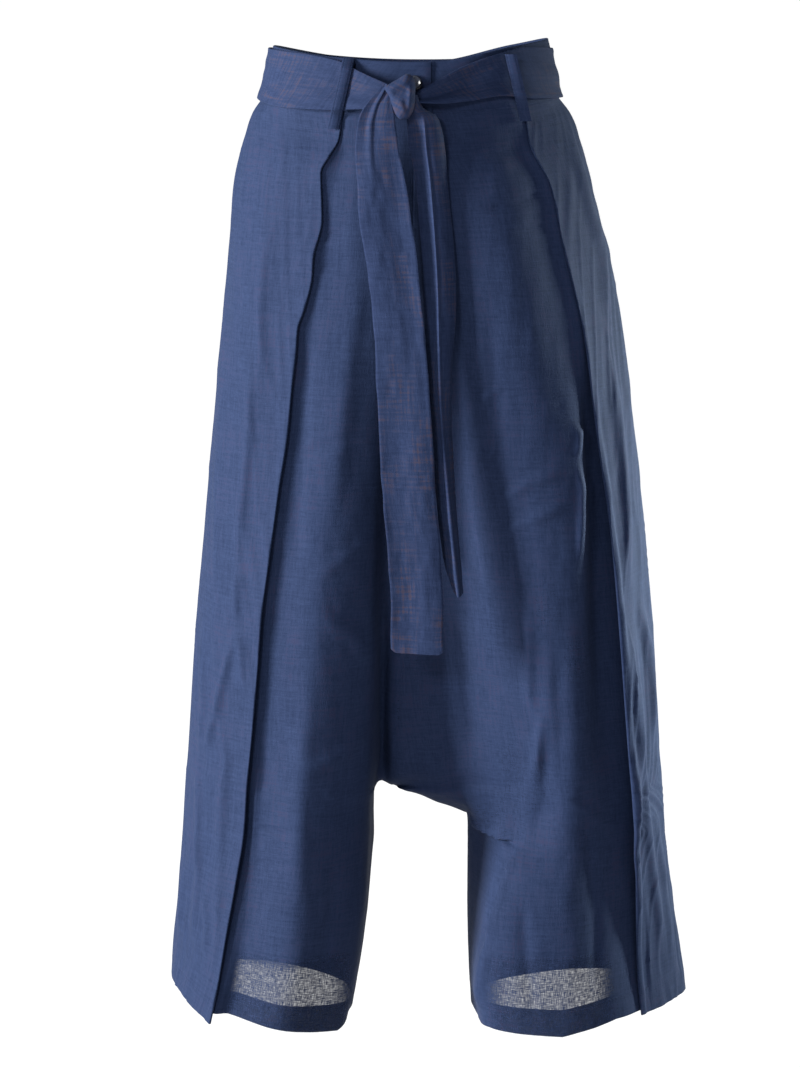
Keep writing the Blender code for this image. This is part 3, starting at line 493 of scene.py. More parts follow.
def back_section(side, drop):
    """A back's plan curve from its seam to the side, in millimetres."""
    features = [feature(PANELS["back", side], name, drop) for name in ("furrow", "full", "outer")]
    for point in features:
        point[1] += sewn_share(drop) * (oval_y(point[0], drop) - point[1])
    start = [beyond_seam(side, "back", drop), seam_point(side, "back", drop)]
    end = [side_seam_point(side, drop), feature(PANELS["front", side], "flank", drop)]
    return through([*start, *features, *end], BACK_STEPS)


print("points across a front and a back:", FRONT_COLUMNS[-1] + 1, "and", sum(BACK_STEPS) + 1)

# %% [markdown]
# ## From sections to a sheet
# Stacking the sections gives a grid of points: rows down the garment, columns across the cloth. The waist's
# dip, the crotch's sag and the hem's own line lower or raise the points of a row. Rows lie closer together
# round the crotch, where the plan changes from one tube to two.

# %% Sheets of the four panels
HEM_STARTS_AT = LENGTH - HEM_TURN_UP
WAIST_ROWS_START = WAISTBAND_HEIGHT - SEWN_IN
ROW_STOPS = (WAIST_ROWS_START, WAISTBAND_HEIGHT, 96, 600, 662, CROTCH_DROP, 693, 722, 762, HEM_STARTS_AT)
ROW_STEPS = (2, 12, 110, 20, 10, 7, 18, 32, 36)
HEM_STEPS = 8


def row_drops():
    """Drops between the stops, evenly spaced in each stretch."""
    parts = [np.linspace(a, b, n, endpoint=False) for a, b, n in zip(ROW_STOPS, ROW_STOPS[1:], ROW_STEPS)]
    return np.concatenate([*parts, np.linspace(HEM_STARTS_AT, LENGTH, HEM_STEPS + 1)])


def edge_dip(x, is_front, top=False):
    """How far the waistband's edge dips below the level of the sides: a parabola in X."""
    front, back = (FRONT_DIP_TOP, BACK_DIP_TOP) if top else (FRONT_DIP_SEAM, BACK_DIP_SEAM)
    half_width = WAIST_WIDTH / 2 + (0 if top else WAISTBAND_FLARE)
    half_width = half_width * np.where(x > 0, WAIST_LEFT_SHARE, 1.0)
    share = np.clip(1 - (x / half_width) ** 2, 0, 1)
    return np.where(is_front, front, back) * share - (LEFT_RISE * smooth_step(x, 20, 90) if top else 0.0)


def hem_lift(face, side, columns):
    """Each column's hem lift, from feature to feature."""
    lift = {name: values[0 if side == "right" else 1] for name, values in HEM_LIFT.items()}
    if face == "back":
        return np.interp(np.arange(columns), (0, columns - 1), (lift["seam"], lift["side_seam"]))
    names = "seam valley ridge mid outer recess hidden hidden edge edge flank side_seam"
    stops = np.delete(FRONT_COLUMNS, COLUMN_NAMES.split().index("under"))
    return np.interp(np.arange(columns), stops, [lift[name] for name in names.split()])


def panel_grid(face, side):
    """The panel's mid surface as rows, points along each row, and X, Y, Z in millimetres."""
    section, drops = front_section if face == "front" else back_section, row_drops()
    plan = np.array([section(side, float(drop)) for drop in drops])
    x, drop = plan[..., 0], drops[:, None]
    dips = (1 - smooth_step(drop, WAISTBAND_HEIGHT, DIP_FADES_AT)) * edge_dip(x, face == "front")
    near_crotch = smooth_step(drop, SAG_STARTS_AT, CROTCH_DROP)
    near_crotch = near_crotch * (1 - smooth_step(drop, SAG_FADES_FROM, SAG_FADES_AT))
    hem = np.clip((drop - HEM_LIFT_FROM) / (LENGTH - HEM_LIFT_FROM), 0, 1) ** 2
    level = -drop - dips - near_crotch * eased(CROTCH_SAG, "sag", x)
    level = level + hem * hem_lift(face, side, plan.shape[1])
    return np.concatenate([plan, level[..., None]], axis=2)


FLIPPED = {"front_right": False, "front_left": True, "back_right": True, "back_left": False}
grids = {name: panel_grid(*name.split("_")) for name in FLIPPED}
print("panel grids:", {name: grid.shape[:2] for name, grid in grids.items()})

# %% [markdown]
# ## Walls of cloth
# Cloth has two faces, so each sheet is a closed wall: the sheet moved out by half its thickness, the sheet
# moved in by half, and a rim between them. Where panels are sewn to each other they share their points and
# their normals, so their walls meet edge to edge and no light leaks through a seam.


# %% Walls
def outward_faces(rows, columns, flipped):
    """The index quads of a grid, ordered so that they face out of the garment."""
    index = np.arange(rows * columns).reshape(rows, columns)
    quads = np.stack([index[:-1, :-1], index[:-1, 1:], index[1:, 1:], index[1:, :-1]], axis=-1).reshape(-1, 4)
    return quads[:, ::-1] if flipped else quads


def walls_of(rows, columns):
    """The quads that close the edge of a wall between an outer grid and an inner grid of the same size."""
    count = rows * columns
    index = np.arange(count).reshape(rows, columns)
    border = np.concatenate([index[0, :-1], index[:-1, -1], index[-1, :0:-1], index[:0:-1, 0]])
    following = np.roll(border, -1)
    return np.stack([border, border + count, following + count, following], axis=1)


def shared_normals(grids):
    """Vertex normals: its faces' normals, weighted by area and added up wherever panels share a point."""
    points = np.concatenate([g.reshape(-1, 3) for g in grids.values()])
    _, same = np.unique(np.round(points, 4), axis=0, return_inverse=True)
    same = same.reshape(-1)
    total, start = np.zeros((same.max() + 1, 3)), 0
    for name, grid in grids.items():
        quads = outward_faces(*grid.shape[:2], FLIPPED[name]) + start
        corners = points[quads]
        face_normal = np.cross(corners[:, 2] - corners[:, 0], corners[:, 3] - corners[:, 1])
        for corner in range(4):
            np.add.at(total, same[quads[:, corner]], face_normal)
        start += grid.shape[0] * grid.shape[1]
    normals = unit(total)[same]
    ends = np.cumsum([g.shape[0] * g.shape[1] for g in grids.values()])
    return {name: part.reshape(grids[name].shape) for name, part in zip(grids, np.split(normals, ends[:-1]))}


def grid_normals(grid, flipped):
    """Normals of one open sheet: the run across, crossed with the run down."""
    normals = unit(np.cross(np.gradient(grid, axis=1), np.gradient(grid, axis=0)))
    return -normals if flipped else normals


def run_across(grid):
    """Each point's distance along its row from the row's first point."""
    step = np.linalg.norm(np.diff(grid, axis=1), axis=2)
    return np.concatenate([np.zeros((len(grid), 1)), np.cumsum(step, axis=1)], axis=1)


def from_ends(run, axis):
    """Each point's distance from the nearer end of its column (axis 0) or of its row (axis 1)."""
    return np.minimum(run, np.take(run, [-1], axis) - run)


def weave_uv(grid, grain):
    """Coordinates of the weave in metres: U across from the grain column, and V down along that column."""
    across = run_across(grid)
    down = np.broadcast_to(lengths(grid[:, grain])[:, None], across.shape)
    return np.stack([across - across[:, grain : grain + 1], -down], axis=-1) * MM


print("quads round the edge of a grid of 3 by 4 points:", len(walls_of(3, 4)))

# %% [markdown]
# ## Pieces
# Every piece is one smooth mesh, made in one call from whole arrays. Panels are walls of even thickness.
# Strips such as the belt have folds for edges, so they thin out there in a half circle. Turned and padded
# pieces are rings of points with a closed fan at each end.


# %% Pieces
def mesh_piece(name, points_mm, faces, material, uv=None, sharp=None, sheer=None):
    """A smooth mesh from lists or arrays, in metres. It can have UVs and a sheerness for each point, and an
    angle past which its edges are sharp."""
    mesh = bpy.data.meshes.new(name)
    mesh.from_pydata((points_mm * MM).tolist(), [], faces if isinstance(faces, list) else faces.tolist())
    if uv is not None:
        corners = np.empty(len(mesh.loops), int)
        mesh.loops.foreach_get("vertex_index", corners)
        mesh.uv_layers.new(name="cloth").data.foreach_set("uv", uv[corners].ravel())
    if sheer is not None:
        sheerness = np.broadcast_to(sheer, len(points_mm)).astype(np.float32)
        mesh.attributes.new("sheer", "FLOAT", "POINT").data.foreach_set("value", sheerness)
    mesh.shade_smooth()
    if sharp is not None:
        mesh.set_sharp_from_angle(angle=math.radians(sharp))
    mesh.materials.append(material)
    return add_object(name, mesh)


def cloth_wall(name, grid, normals, thickness, uv, flipped, material, sheer=0.0):
    """A closed wall round a sheet. Its thickness and sheerness are one number, or one for each point."""
    rows, columns = grid.shape[:2]
    half = np.broadcast_to(thickness, (rows, columns))[..., None] / 2
    skin, rim = outward_faces(rows, columns, flipped), walls_of(rows, columns)
    rim = rim[:, ::-1] if flipped else rim
    faces = np.concatenate([skin, skin[:, ::-1] + rows * columns, rim])
    points = np.concatenate([(grid + normals * half).reshape(-1, 3), (grid - normals * half).reshape(-1, 3)])
    sheer = np.tile(np.broadcast_to(sheer, (rows, columns)).ravel(), 2)
    return mesh_piece(name, points, faces, material, np.tile(uv.reshape(-1, 2), (2, 1)), 50, sheer)


def folded_strip(name, sheet, cloth, from_edge, material, flipped=True, weave_across=False):
    """A strip of cloth whose edges are folds. Its thickness follows a quarter circle, t * sqrt(1 - (1 -
    d/r)^2), where d is the distance in from the edge and r is half the thickness t."""
    share = 1 - (1 - np.clip(from_edge / (cloth / 2), 0, 1)) ** 2
    thickness = cloth * np.sqrt(np.clip(share, 0.04, 1))
    uv = weave_uv(sheet, sheet.shape[1] // 2)
    uv = uv[..., ::-1] if weave_across else uv
    return cloth_wall(name, sheet, grid_normals(sheet, flipped), thickness, uv, flipped, material)


def ring_quads(rings, segments):
    """The quads between rings of points, from each ring to the next."""
    index = np.arange(rings * segments).reshape(rings, segments)
    after = np.roll(index, -1, axis=1)
    return np.stack([index[:-1], after[:-1], after[1:], index[1:]], axis=-1).reshape(-1, 4)


def capped_rings(points, ends, segments):
    """Points and faces of rings closed by a fan at each end: the rings' points, then the two ends' points."""
    quads = ring_quads(len(points) // segments, segments)
    faces = quads.tolist()
    faces += [[len(points), b, a] for a, b in quads[:segments, :2].tolist()]
    faces += [[len(points) + 1, a, b] for b, a in quads[-segments:, 2:].tolist()]
    return np.concatenate([points, ends]), faces


print("faces of two rings of eight points:", len(capped_rings(np.zeros((16, 3)), np.zeros((2, 3)), 8)[1]))

# %% [markdown]
# ## Linen
# The cloth is a light plain weave of uneven flax yarn, dyed a dusty blue. Yarn in both directions has thick
# and thin stretches, called slubs. Where a thin stretch crosses a thin stretch, light passes, so one layer
# of the cloth is a little sheer and two layers hardly at all. The dye took unevenly, so a few slubs show as
# warmer dashes, mostly on the belt. The group works in the weave's own coordinates and gives the yarn's
# tone, its cover, its relief and its dashes, and the trousers and the belt share it.


# %% Weave group
def linked(tree, kind, inputs=(), **settings):
    """A node with its settings made and its inputs linked or set, in order of the inputs given."""
    node = tree.nodes.new(kind)
    for key, value in settings.items():
        setattr(node, key, value)
    for name, value in dict(inputs).items():
        if isinstance(value, bpy.types.NodeSocket):
            tree.links.new(value, node.inputs[name])
        else:
            node.inputs[name].default_value = value
    return node


YARNS = {
    "warp": (1250.0, 150.0, 2.0),
    "weft": (150.0, 1200.0, 2.0),
    "grain": (1500.0, 1400.0, 1.0),
    "patches": (30.0, 12.0, 2.0),
    "long slub": (430.0, 32.0, 1.0),
    "cross slub": (30.0, 400.0, 1.0),
}


def linen_weave():
    """Stretched noises in UV metres, each with so many cells to the metre across and down, and a detail.
    Warp, weft and grain make the weave. The slubs and broad patches change its tone, and where a slub
    crosses a patch it is dyed."""
    group = bpy.data.node_groups.new("linen weave", "ShaderNodeTree")
    face = group.interface
    face.new_socket("Cloth Position", in_out="INPUT", socket_type="NodeSocketVector")
    thin = face.new_socket("Thin Spots", in_out="INPUT", socket_type="NodeSocketFloat")
    thin.default_value = -0.3
    for name in ("Tone", "Cover", "Height", "Patch"):
        face.new_socket(name, in_out="OUTPUT", socket_type="NodeSocketFloat")
    given, result = group.nodes.new("NodeGroupInput"), group.nodes.new("NodeGroupOutput")
    noise = {}
    for name, (across, down, detail) in YARNS.items():
        scale = {0: given.outputs["Cloth Position"], 1: (across, down, 1.0)}
        place = linked(group, "ShaderNodeVectorMath", scale, operation="MULTIPLY").outputs[0]
        cells = {"Vector": place, "Scale": 1.0, "Detail": detail}
        noise[name] = linked(group, "ShaderNodeTexNoise", cells).outputs[0]

    def maths(operation, a, b):
        """A math node's result for two values."""
        return linked(group, "ShaderNodeMath", {0: a, 1: b}, operation=operation).outputs[0]

    def plus(a, b, share=1.0):
        """One value added to another, after a share of it is taken."""
        return maths("ADD", a, b if share == 1.0 else maths("MULTIPLY", b, share))

    def ramp(value, low, high, top=1.0):
        """From 0 at the low value to the top at the high value."""
        ends = {"Value": value, "From Min": low, "From Max": high, "To Min": 0.0, "To Max": top}
        return linked(group, "ShaderNodeMapRange", ends).outputs[0]

    weave = plus(plus(noise["warp"], noise["weft"]), noise["grain"], 0.3)
    slubs = plus(noise["long slub"], noise["cross slub"])
    tone = ramp(plus(plus(weave, noise["patches"], 0.4), slubs, 0.75), 1.55, 2.6)
    opening = {0: ramp(weave, 1.48, 0.88, 2.2), 1: given.outputs["Thin Spots"], 2: 1.0}
    cover = linked(group, "ShaderNodeMath", opening, operation="MULTIPLY_ADD", use_clamp=True).outputs[0]
    crossing = ramp(plus(noise["cross slub"], noise["long slub"], 0.9), 0.94, 1.2)
    patch = maths("MULTIPLY", ramp(noise["patches"], 0.44, 0.6), crossing)
    for name, value in (("Tone", tone), ("Cover", cover), ("Height", weave), ("Patch", patch)):
        group.links.new(value, result.inputs[name])
    return group


WEAVE = linen_weave()
print("weave's nodes:", len(WEAVE.nodes))

# %% [markdown]
# ## Three linens
# The single cloth of the trousers lets light through where the mesh says that it is sheer. The doubled cloth
# of the waistband and loops doesn't, nor does the belt, whose dashes are warmer. Linen is dull, with a faint
# sheen of loose fibres.

# %% Linens
MIX_A, MIX_B, MIX_RESULT = 6, 7, 2
LINEN_LOOK = {
    "Roughness": 0.8,
    "Sheen Weight": 0.02,
    "Sheen Roughness": 0.45,
    "Sheen Tint": (0.62, 0.72, 0.95, 1.0),
    "Specular IOR Level": 0.08,
}


def new_material(name):
    """A new material, its node tree and its shader."""
    material = bpy.data.materials.new(name)
    material.use_nodes = True
    return material, material.node_tree, material.node_tree.nodes["Principled BSDF"]


def blend(tree, factor, first, second):
    """A colour between two colours or colour sockets."""
    ends = {0: factor, MIX_A: first, MIX_B: second}
    return linked(tree, "ShaderNodeMix", ends, data_type="RGBA").outputs[MIX_RESULT]


def linen(name, dark, light, cast, thin_most):
    """Linen in two tones of one dye, with a cast in faint dashes. Thin spots: thin_most * sheerness."""
    material, tree, shader = new_material(name)
    place = linked(tree, "ShaderNodeUVMap", uv_map="cloth").outputs["UV"]
    sheer = linked(tree, "ShaderNodeAttribute", attribute_name="sheer").outputs["Fac"]
    thin = linked(tree, "ShaderNodeMath", {0: sheer, 1: thin_most}, operation="MULTIPLY").outputs[0]
    weave = linked(tree, "ShaderNodeGroup", node_tree=WEAVE)
    tree.links.new(place, weave.inputs["Cloth Position"])
    tree.links.new(thin, weave.inputs["Thin Spots"])
    dye = blend(tree, weave.outputs["Tone"], (*dark, 1.0), (*light, 1.0))
    relief = {"Height": weave.outputs["Height"], "Strength": 0.5, "Distance": 0.0003}
    bump = linked(tree, "ShaderNodeBump", relief)
    tree.links.new(blend(tree, weave.outputs["Patch"], dye, (*cast, 1.0)), shader.inputs["Base Color"])
    tree.links.new(bump.outputs["Normal"], shader.inputs["Normal"])
    tree.links.new(weave.outputs["Cover"], shader.inputs["Alpha"])
    for socket, value in LINEN_LOOK.items():
        shader.inputs[socket].default_value = value
    return material


TROUSER_DYE = (0.007, 0.0136, 0.0392), (0.0165, 0.0274, 0.069), (0.016, 0.021, 0.054)
BELT_DYE = (0.007, 0.0134, 0.039), (0.017, 0.0275, 0.071), (0.0285, 0.0255, 0.0475)
trouser_linen = linen("trouser linen", *TROUSER_DYE, -0.29)
doubled_linen = linen("doubled linen", *TROUSER_DYE, 0.0)
belt_linen = linen("belt linen", *BELT_DYE, 0.0)
print("materials:", ", ".join(m.name for m in (trouser_linen, doubled_linen, belt_linen)))

# %% [markdown]
# ## Creases
# Linen keeps every crease. The main ones are listed, each as a row: a line bent once at its middle,
# with a width and a height, where a negative height is a trough. Between them the cloth has a finer
# crumple, which is seeded noise drawn out along the hang of the cloth.

# %% Crease tables
FRONT_CREASES = table("""
    x0 d0 x1 d1 x2 d2 width height
     -56 190  -71 189  -86 191  2.6 -0.9
     -56 158  -70 161  -85 166  2.6 -0.9
     -54 342  -78 349 -101 359  3.2 -1.0
    -113 712 -127 709 -141 705  3.0 -1.1
     -30 430  -62 452  -92 470  6.0  0.9
     -36 560  -60 520  -96 500  7.0  1.1
     -40 610  -70 640 -110 652  7.0  1.2
     -48 180  -60 300  -74 420  9.0  1.1
     -88 210  -98 330 -108 470  6.0 -0.9
     -96 560 -104 660 -108 780  9.0  1.2
     -70 740  -78 800  -88 880  7.0 -1.1
    -140 560 -146 660 -152 760  5.0  1.0
      80 294   67 302   55 311  3.2  1.4
      74 347   68 357   61 366  3.0  1.2
     135 374  102 383   70 403  3.6  1.6
     141 403  101 418   73 431  3.6  1.5
     120 126   92 134   57 140  2.4 -1.3
      85  91   73  92   61  92  2.2 -0.8
     121 156  104 158   86 160  2.6 -0.9
     140 332  148 339  146 363  3.2  1.6
     146 363  151 391  150 461  3.4  1.8
      39 498   45 551   55 653  5.5 -1.8
     103 493  106 587  116 607  5.0  1.5
     116 607  114 643   98 720  5.0  1.6
     117 590  114 680  100 735  5.0  1.6
     130 520  132 590  135 690  8.0 -1.2
      70 820   63 850   60 890  4.2  2.2
      34 130   42 330   50 560 13.0 -3.2
      64 230   80 380   92 520  7.0 -1.0
      20 420   44 470   66 500  6.0  1.1
     100 770  104 830  112 890  6.0 -1.2
     160 700  168 790  172 880  6.0 -1.2
""")
SIDE_CREASES = table("""
    x0 d0 x1 d1 x2 d2 width height
    -144 248 -149 351 -161 464 4.5  1.9
    -161 464 -161 492 -163 521 4.5  1.9
    -163 521 -183 607 -197 656 3.6  1.9
    -163 521 -157 545 -156 578 3.6  1.6
    -196 531 -195 602 -200 656 3.0  1.8
    -200 656 -202 730 -201 767 3.0  1.8
    -202 721 -201 761 -208 833 3.0  1.6
    -194 775 -193 819 -197 838 3.0  1.4
    -217 763 -221 802 -221 838 3.0  1.4
    -130 150 -136 230 -140 330 5.0  1.4
    -172 250 -178 400 -184 520 5.0  1.4
    -172 620 -178 720 -184 850 5.0  1.5
     134  66  168 182  177 263 4.0  2.0
     177 263  193 418  197 499 4.0  2.2
     197 499  218 724  239 871 4.0  2.0
     189 494  205 630  207 757 3.5  2.0
     208 502  219 559  226 648 3.5  1.8
     204 500  212 568  219 719 3.0 -1.2
     165 120  186 240  200 380 4.0  1.5
     222 690  236 780  248 880 4.0  1.6
""")
BACK_CREASES = table("""
    x0 d0 x1 d1 x2 d2 width height
     -30 590  -66 520 -112 470 8.0  2.0
     -40 640  -84 600 -130 570 7.0  1.8
     -24 500  -48 430  -60 330 9.0 -1.6
     -96 180 -108 330 -112 480 9.0  1.6
    -140 220 -152 380 -160 560 6.0  1.6
     -60 720  -74 790  -88 880 7.0 -1.6
    -120 650 -128 760 -140 880 8.0  1.8
    -180 480 -186 640 -196 820 5.0  1.6
     -70  90  -86 130 -104 160 5.0  1.2
      30 590   72 530  116 500 8.0  2.0
      48 650   90 606  134 590 7.0  1.8
      26 510   52 440   64 320 9.0 -1.6
     100 190  114 340  122 500 9.0  1.6
     146 210  162 380  176 540 6.0  1.6
      84 740   96 800  108 886 7.0 -1.6
     142 640  152 760  164 880 8.0  1.8
     196 460  208 640  222 830 5.0  1.6
      70  84   88 120  112 150 5.0  1.2
""")

# Folds where the cloth on one side stands proud: above a line that runs to the right, and right of one
# that runs down.
LAPS = table("""
    x0 d0 x1 d1 x2 d2 x3 d3 rise reach
    22 697 60 717 77 722 98 727 6.4 24
    98 725 87 755 76 792 64 836 3.2 18
""")
LAP_EDGE, LAP_GROOVE, LAP_GROOVE_WIDTH, LAP_HANG, LAP_HANG_WIDTH = 1.5, 0.7, 3.2, 1.1, 2.6
CREASE_DEPTH = 1.7
print("creases and laps:", sum(len(data["x0"]) for data in (FRONT_CREASES, SIDE_CREASES, BACK_CREASES, LAPS)))

# %% [markdown]
# ## Ridges, troughs and laps
# A crease is a bell curve across its bent line. A lap is a crease with one steep side, where a fold hangs a
# little over the cloth below it. Both need the same thing: where the nearest point of a bent line is.


# %% Ridges, troughs and laps
def near_line(x, drop, corners, even=False):
    """For each point: its distance to a bent line, the side that it lies on (1 right of the line as it runs
    down, or -1), how far along it lies, from 0 to 1, by length or in even parts, and the line's direction
    there."""
    step = np.diff(corners, axis=0)
    length = np.hypot(*step.T)
    stops = np.concatenate([[0], np.cumsum(np.ones(len(step)) if even else length)])
    stops = stops / stops[-1]
    nearest, side, place = np.full(x.shape, np.inf), np.zeros(x.shape), np.zeros(x.shape)
    ahead = np.zeros((2, *x.shape))
    for k, ((start_x, start_drop), (dx, dd)) in enumerate(zip(corners, step)):
        t = np.clip(((x - start_x) * dx + (drop - start_drop) * dd) / length[k] ** 2, 0, 1)
        distance = np.hypot(x - start_x - t * dx, drop - start_drop - t * dd)
        closer = distance < nearest
        nearest = np.where(closer, distance, nearest)
        side = np.where(closer, np.sign(dd * (x - start_x) - dx * (drop - start_drop)), side)
        place = np.where(closer, stops[k] + t * (stops[k + 1] - stops[k]), place)
        ahead = np.where(closer, np.array([dx, dd])[:, None, None] / length[k], ahead)
    return nearest, side, place, ahead


def creases(data, x, drop):
    """Soft ridges and troughs: height * exp(-(distance to the bent line / width)^2), fading towards the
    line's ends."""
    total = np.zeros(x.shape)
    for *places, width, height in np.column_stack(list(data.values())):
        distance, _, place, _ = near_line(x, drop, np.reshape(places, (-1, 2)))
        ends = smooth_step(np.minimum(place, 1 - place), -0.05, 0.3)
        total += CREASE_DEPTH * height * ends * bell(distance, width)
    return total


def laps(x, drop):
    """Heights, and shifts in X and drop: rise * exp(-(s/reach)^2) on the proud side, where s is the signed
    distance to the line, a groove on the other side, and the proud edge drawn over it by rise *
    exp(-((s-e)/w)^2)."""
    total, shift = np.zeros(x.shape), np.zeros((2, *x.shape))
    for *places, rise, reach in np.column_stack(list(LAPS.values())):
        distance, side, place, ahead = near_line(x, drop, np.reshape(places, (-1, 2)), even=True)
        signed = side * distance
        ends = smooth_step(np.minimum(place, 1 - place), 0, 0.25)
        proud = smooth_step(signed, -LAP_EDGE, LAP_EDGE) * bell(np.maximum(signed, 0), reach)
        groove = LAP_GROOVE * bell(signed + LAP_EDGE + LAP_GROOVE_WIDTH / 2, LAP_GROOVE_WIDTH)
        total += rise * ends * (proud - groove)
        hang = LAP_HANG * rise * ends * bell(signed - LAP_EDGE, LAP_HANG_WIDTH)
        shift += hang * np.stack([-ahead[1], ahead[0]])
    return total, *shift


lap_rise = laps(*np.meshgrid(np.arange(20.0, 100.0), np.arange(680.0, 740.0)))[0].max()
print(f"the laps rise {lap_rise:.1f} mm")

# %% [markdown]
# ## Dressing the panels
# The creases push the sheet out along its own normal. They fade out at the waist seam and at seams that
# join a front to a back, where the stitching holds the cloth. A seam puckers a little all along, and both
# its panels share that.

# %% Dressed panels
PUCKER, SEAM_GROOVE, SEAM_REACH = 0.35, -0.55, 2.2
FREE_DIP, LAYER_ROOM = 2.5, 0.1
CRISP = {"left": 1.4, "right": 1.1}
FRONT_CRUMPLE, SIDE_CRUMPLE, BACK_CRUMPLE = (0.55, 0.12), (0.3, 0.95), (0.9, 0.3)
LAPS_START_AT, LAPS_FULL_AT = 46.0, 64.0
ROLL = (1.4, 3.5, 3.0), (-0.7, 10.0, 3.5)
ROLL_FROM, ROLL_FULL_AT = 250.0, 400.0
SMOOTH_AT_SEAM, SMOOTH_AT_SIDE, SMOOTH_AT_INSEAM = 7.0, 12.0, 16.0
CREASES_FULL_AT, PUCKER_FULL_AT = 78.0, 60.0
INSEAM_HELD = CROTCH_DROP - 60, CROTCH_DROP - 8


def pucker(drop):
    """A seam's own small waves, a function of the drop alone, so that both panels of a seam agree."""
    return SEAM_GROOVE + PUCKER * soft_noise(drop * 0, drop, 1.0, 6.5, 5)


def crumple(run, down, seed, dents, lines):
    """Fine creasing: broad and small dents, and thin ridges that follow the hang, (1 - |noise|)^3."""
    broad = noises(run, down, ((0.75, 17, 46, seed), (0.4, 9, 15, seed + 1)))
    sway = run + 0.04 * down + 2.5 * soft_noise(run * 0, down, 1, 70, seed + 4)
    thin = (1 - np.abs(soft_noise(sway, down, 10, 120, seed + 2))) ** 3
    thin = thin + 0.6 * (1 - np.abs(soft_noise(run - 0.06 * down, down, 12, 70, seed + 3))) ** 3
    return dents * broad + lines * (thin - 0.4)


def front_height(side, column, down, x, drop, run, seed):
    """A front's creases and crumple. Those of the side panel start at the fold, and their dips stay
    shallower than the room over the layer beneath. The left fold is rolled: a ridge along its edge with a
    trough behind it."""
    under = 1 - smooth_step(column, FRONT_AT["outer"] + 4, FRONT_AT["under"])
    over = smooth_step(column, FRONT_AT["edge_in"] + 2, FRONT_AT["edge"] + 2)
    loose = smooth_step(run, 0, SMOOTH_AT_SEAM)
    height = under * (creases(FRONT_CREASES, x, drop) + crumple(run, drop, seed, *FRONT_CRUMPLE) * loose)
    on_side = CRISP[side] * (creases(SIDE_CREASES, x, drop) + crumple(run, drop, seed + 7, *SIDE_CRUMPLE))
    from_fold = run - run[:, FRONT_AT["edge"]][:, None]
    roll = sum(height * bell(from_fold - place, width) for height, place, width in ROLL)
    on_side = on_side + roll * smooth_step(down, ROLL_FROM, ROLL_FULL_AT) * (side == "left")
    past_flank = smooth_step(column, FRONT_AT["flank"], FRONT_AT["flank"] + 8)
    dip = (layer_gap(side, down) - CLOTH - LAYER_ROOM) * (1 - past_flank) + FREE_DIP * past_flank
    return height + over * np.maximum(on_side, -dip), under * smooth_step(x, LAPS_START_AT, LAPS_FULL_AT)


def dressed(name, number):
    """A panel's sheet, pushed along its normals by its creases, its crumple and its seams' puckers."""
    face, side = name.split("_")
    grid, down = grids[name], row_drops()[:, None]
    x, drop, run = grid[..., 0], -grid[..., 2], run_across(grid)
    to_side = run[:, -1:] - run
    shift, lap_height = np.zeros(grid.shape), 0.0
    if face == "front":
        column = np.arange(grid.shape[1])[None, :]
        height, held = front_height(side, column, down, x, drop, run, 20 * number)
        lap_height, shift[..., 0], shift[..., 2] = (held * part for part in laps(x, drop))
        shift = shift * [1, 0, -1]
    else:
        height = creases(BACK_CREASES, x, drop)
        loose = smooth_step(run, 0, SMOOTH_AT_SEAM)
        height = height + crumple(run, drop, 20 * number, *BACK_CRUMPLE) * loose
    inseam = smooth_step(drop, *INSEAM_HELD) * (1 - smooth_step(run, 0, SMOOTH_AT_INSEAM))
    height = height * (1 - inseam) * smooth_step(to_side, 0, SMOOTH_AT_SIDE)
    height = height * smooth_step(down, WAISTBAND_HEIGHT, CREASES_FULL_AT)
    at_seam = bell(run, SEAM_REACH) + bell(to_side, SEAM_REACH)
    at_seam = at_seam * smooth_step(down, WAISTBAND_HEIGHT, PUCKER_FULL_AT)
    height = height + lap_height + at_seam * pucker(drop)
    return grid + base_normals[name] * height[..., None] + shift


base_normals = shared_normals(grids)
sheets = {name: dressed(name, number) for number, name in enumerate(grids)}
normals = shared_normals(sheets)
print("deepest crease, mm:", {n: round(float(np.abs(sheets[n] - grids[n]).max()), 1) for n in grids})

# %% [markdown]
# ## The turned-up hems
# Each hem is the panel's own cloth, folded up inside and stitched. The sheet therefore goes on past the hem
# line, round a small bend and up the inside. The doubled cloth lets less light through, which shows as the
# dark band that closes each leg.

# %% Panels with their hems
HEM_BEND = 0.55
BEND_ANGLES = np.radians([40, 90, 140])
SHEER_FROM, SHEER_FULL_AT, SHEER_HALF_WIDTH = 822.0, 842.0, 60.0
SHEER_MIDDLE = {"right": -117.0, "left": 127.0}


def with_hem(sheet, outward):
    """The sheet and its normals, continued round the hem's bend and up the inside to the turn-up's height."""
    below, centre = unit(sheet[-1] - sheet[-2]), sheet[-1] - outward[-1] * HEM_BEND
    bend_out = np.array([outward[-1] * math.cos(a) + below * math.sin(a) for a in BEND_ANGLES])
    up = slice(-1, -HEM_STEPS - 2, -1)
    inside = sheet[up] - 2 * HEM_BEND * outward[up]
    grid = np.concatenate([sheet, centre + HEM_BEND * bend_out, inside])
    return grid, np.concatenate([outward, bend_out, -outward[up]])


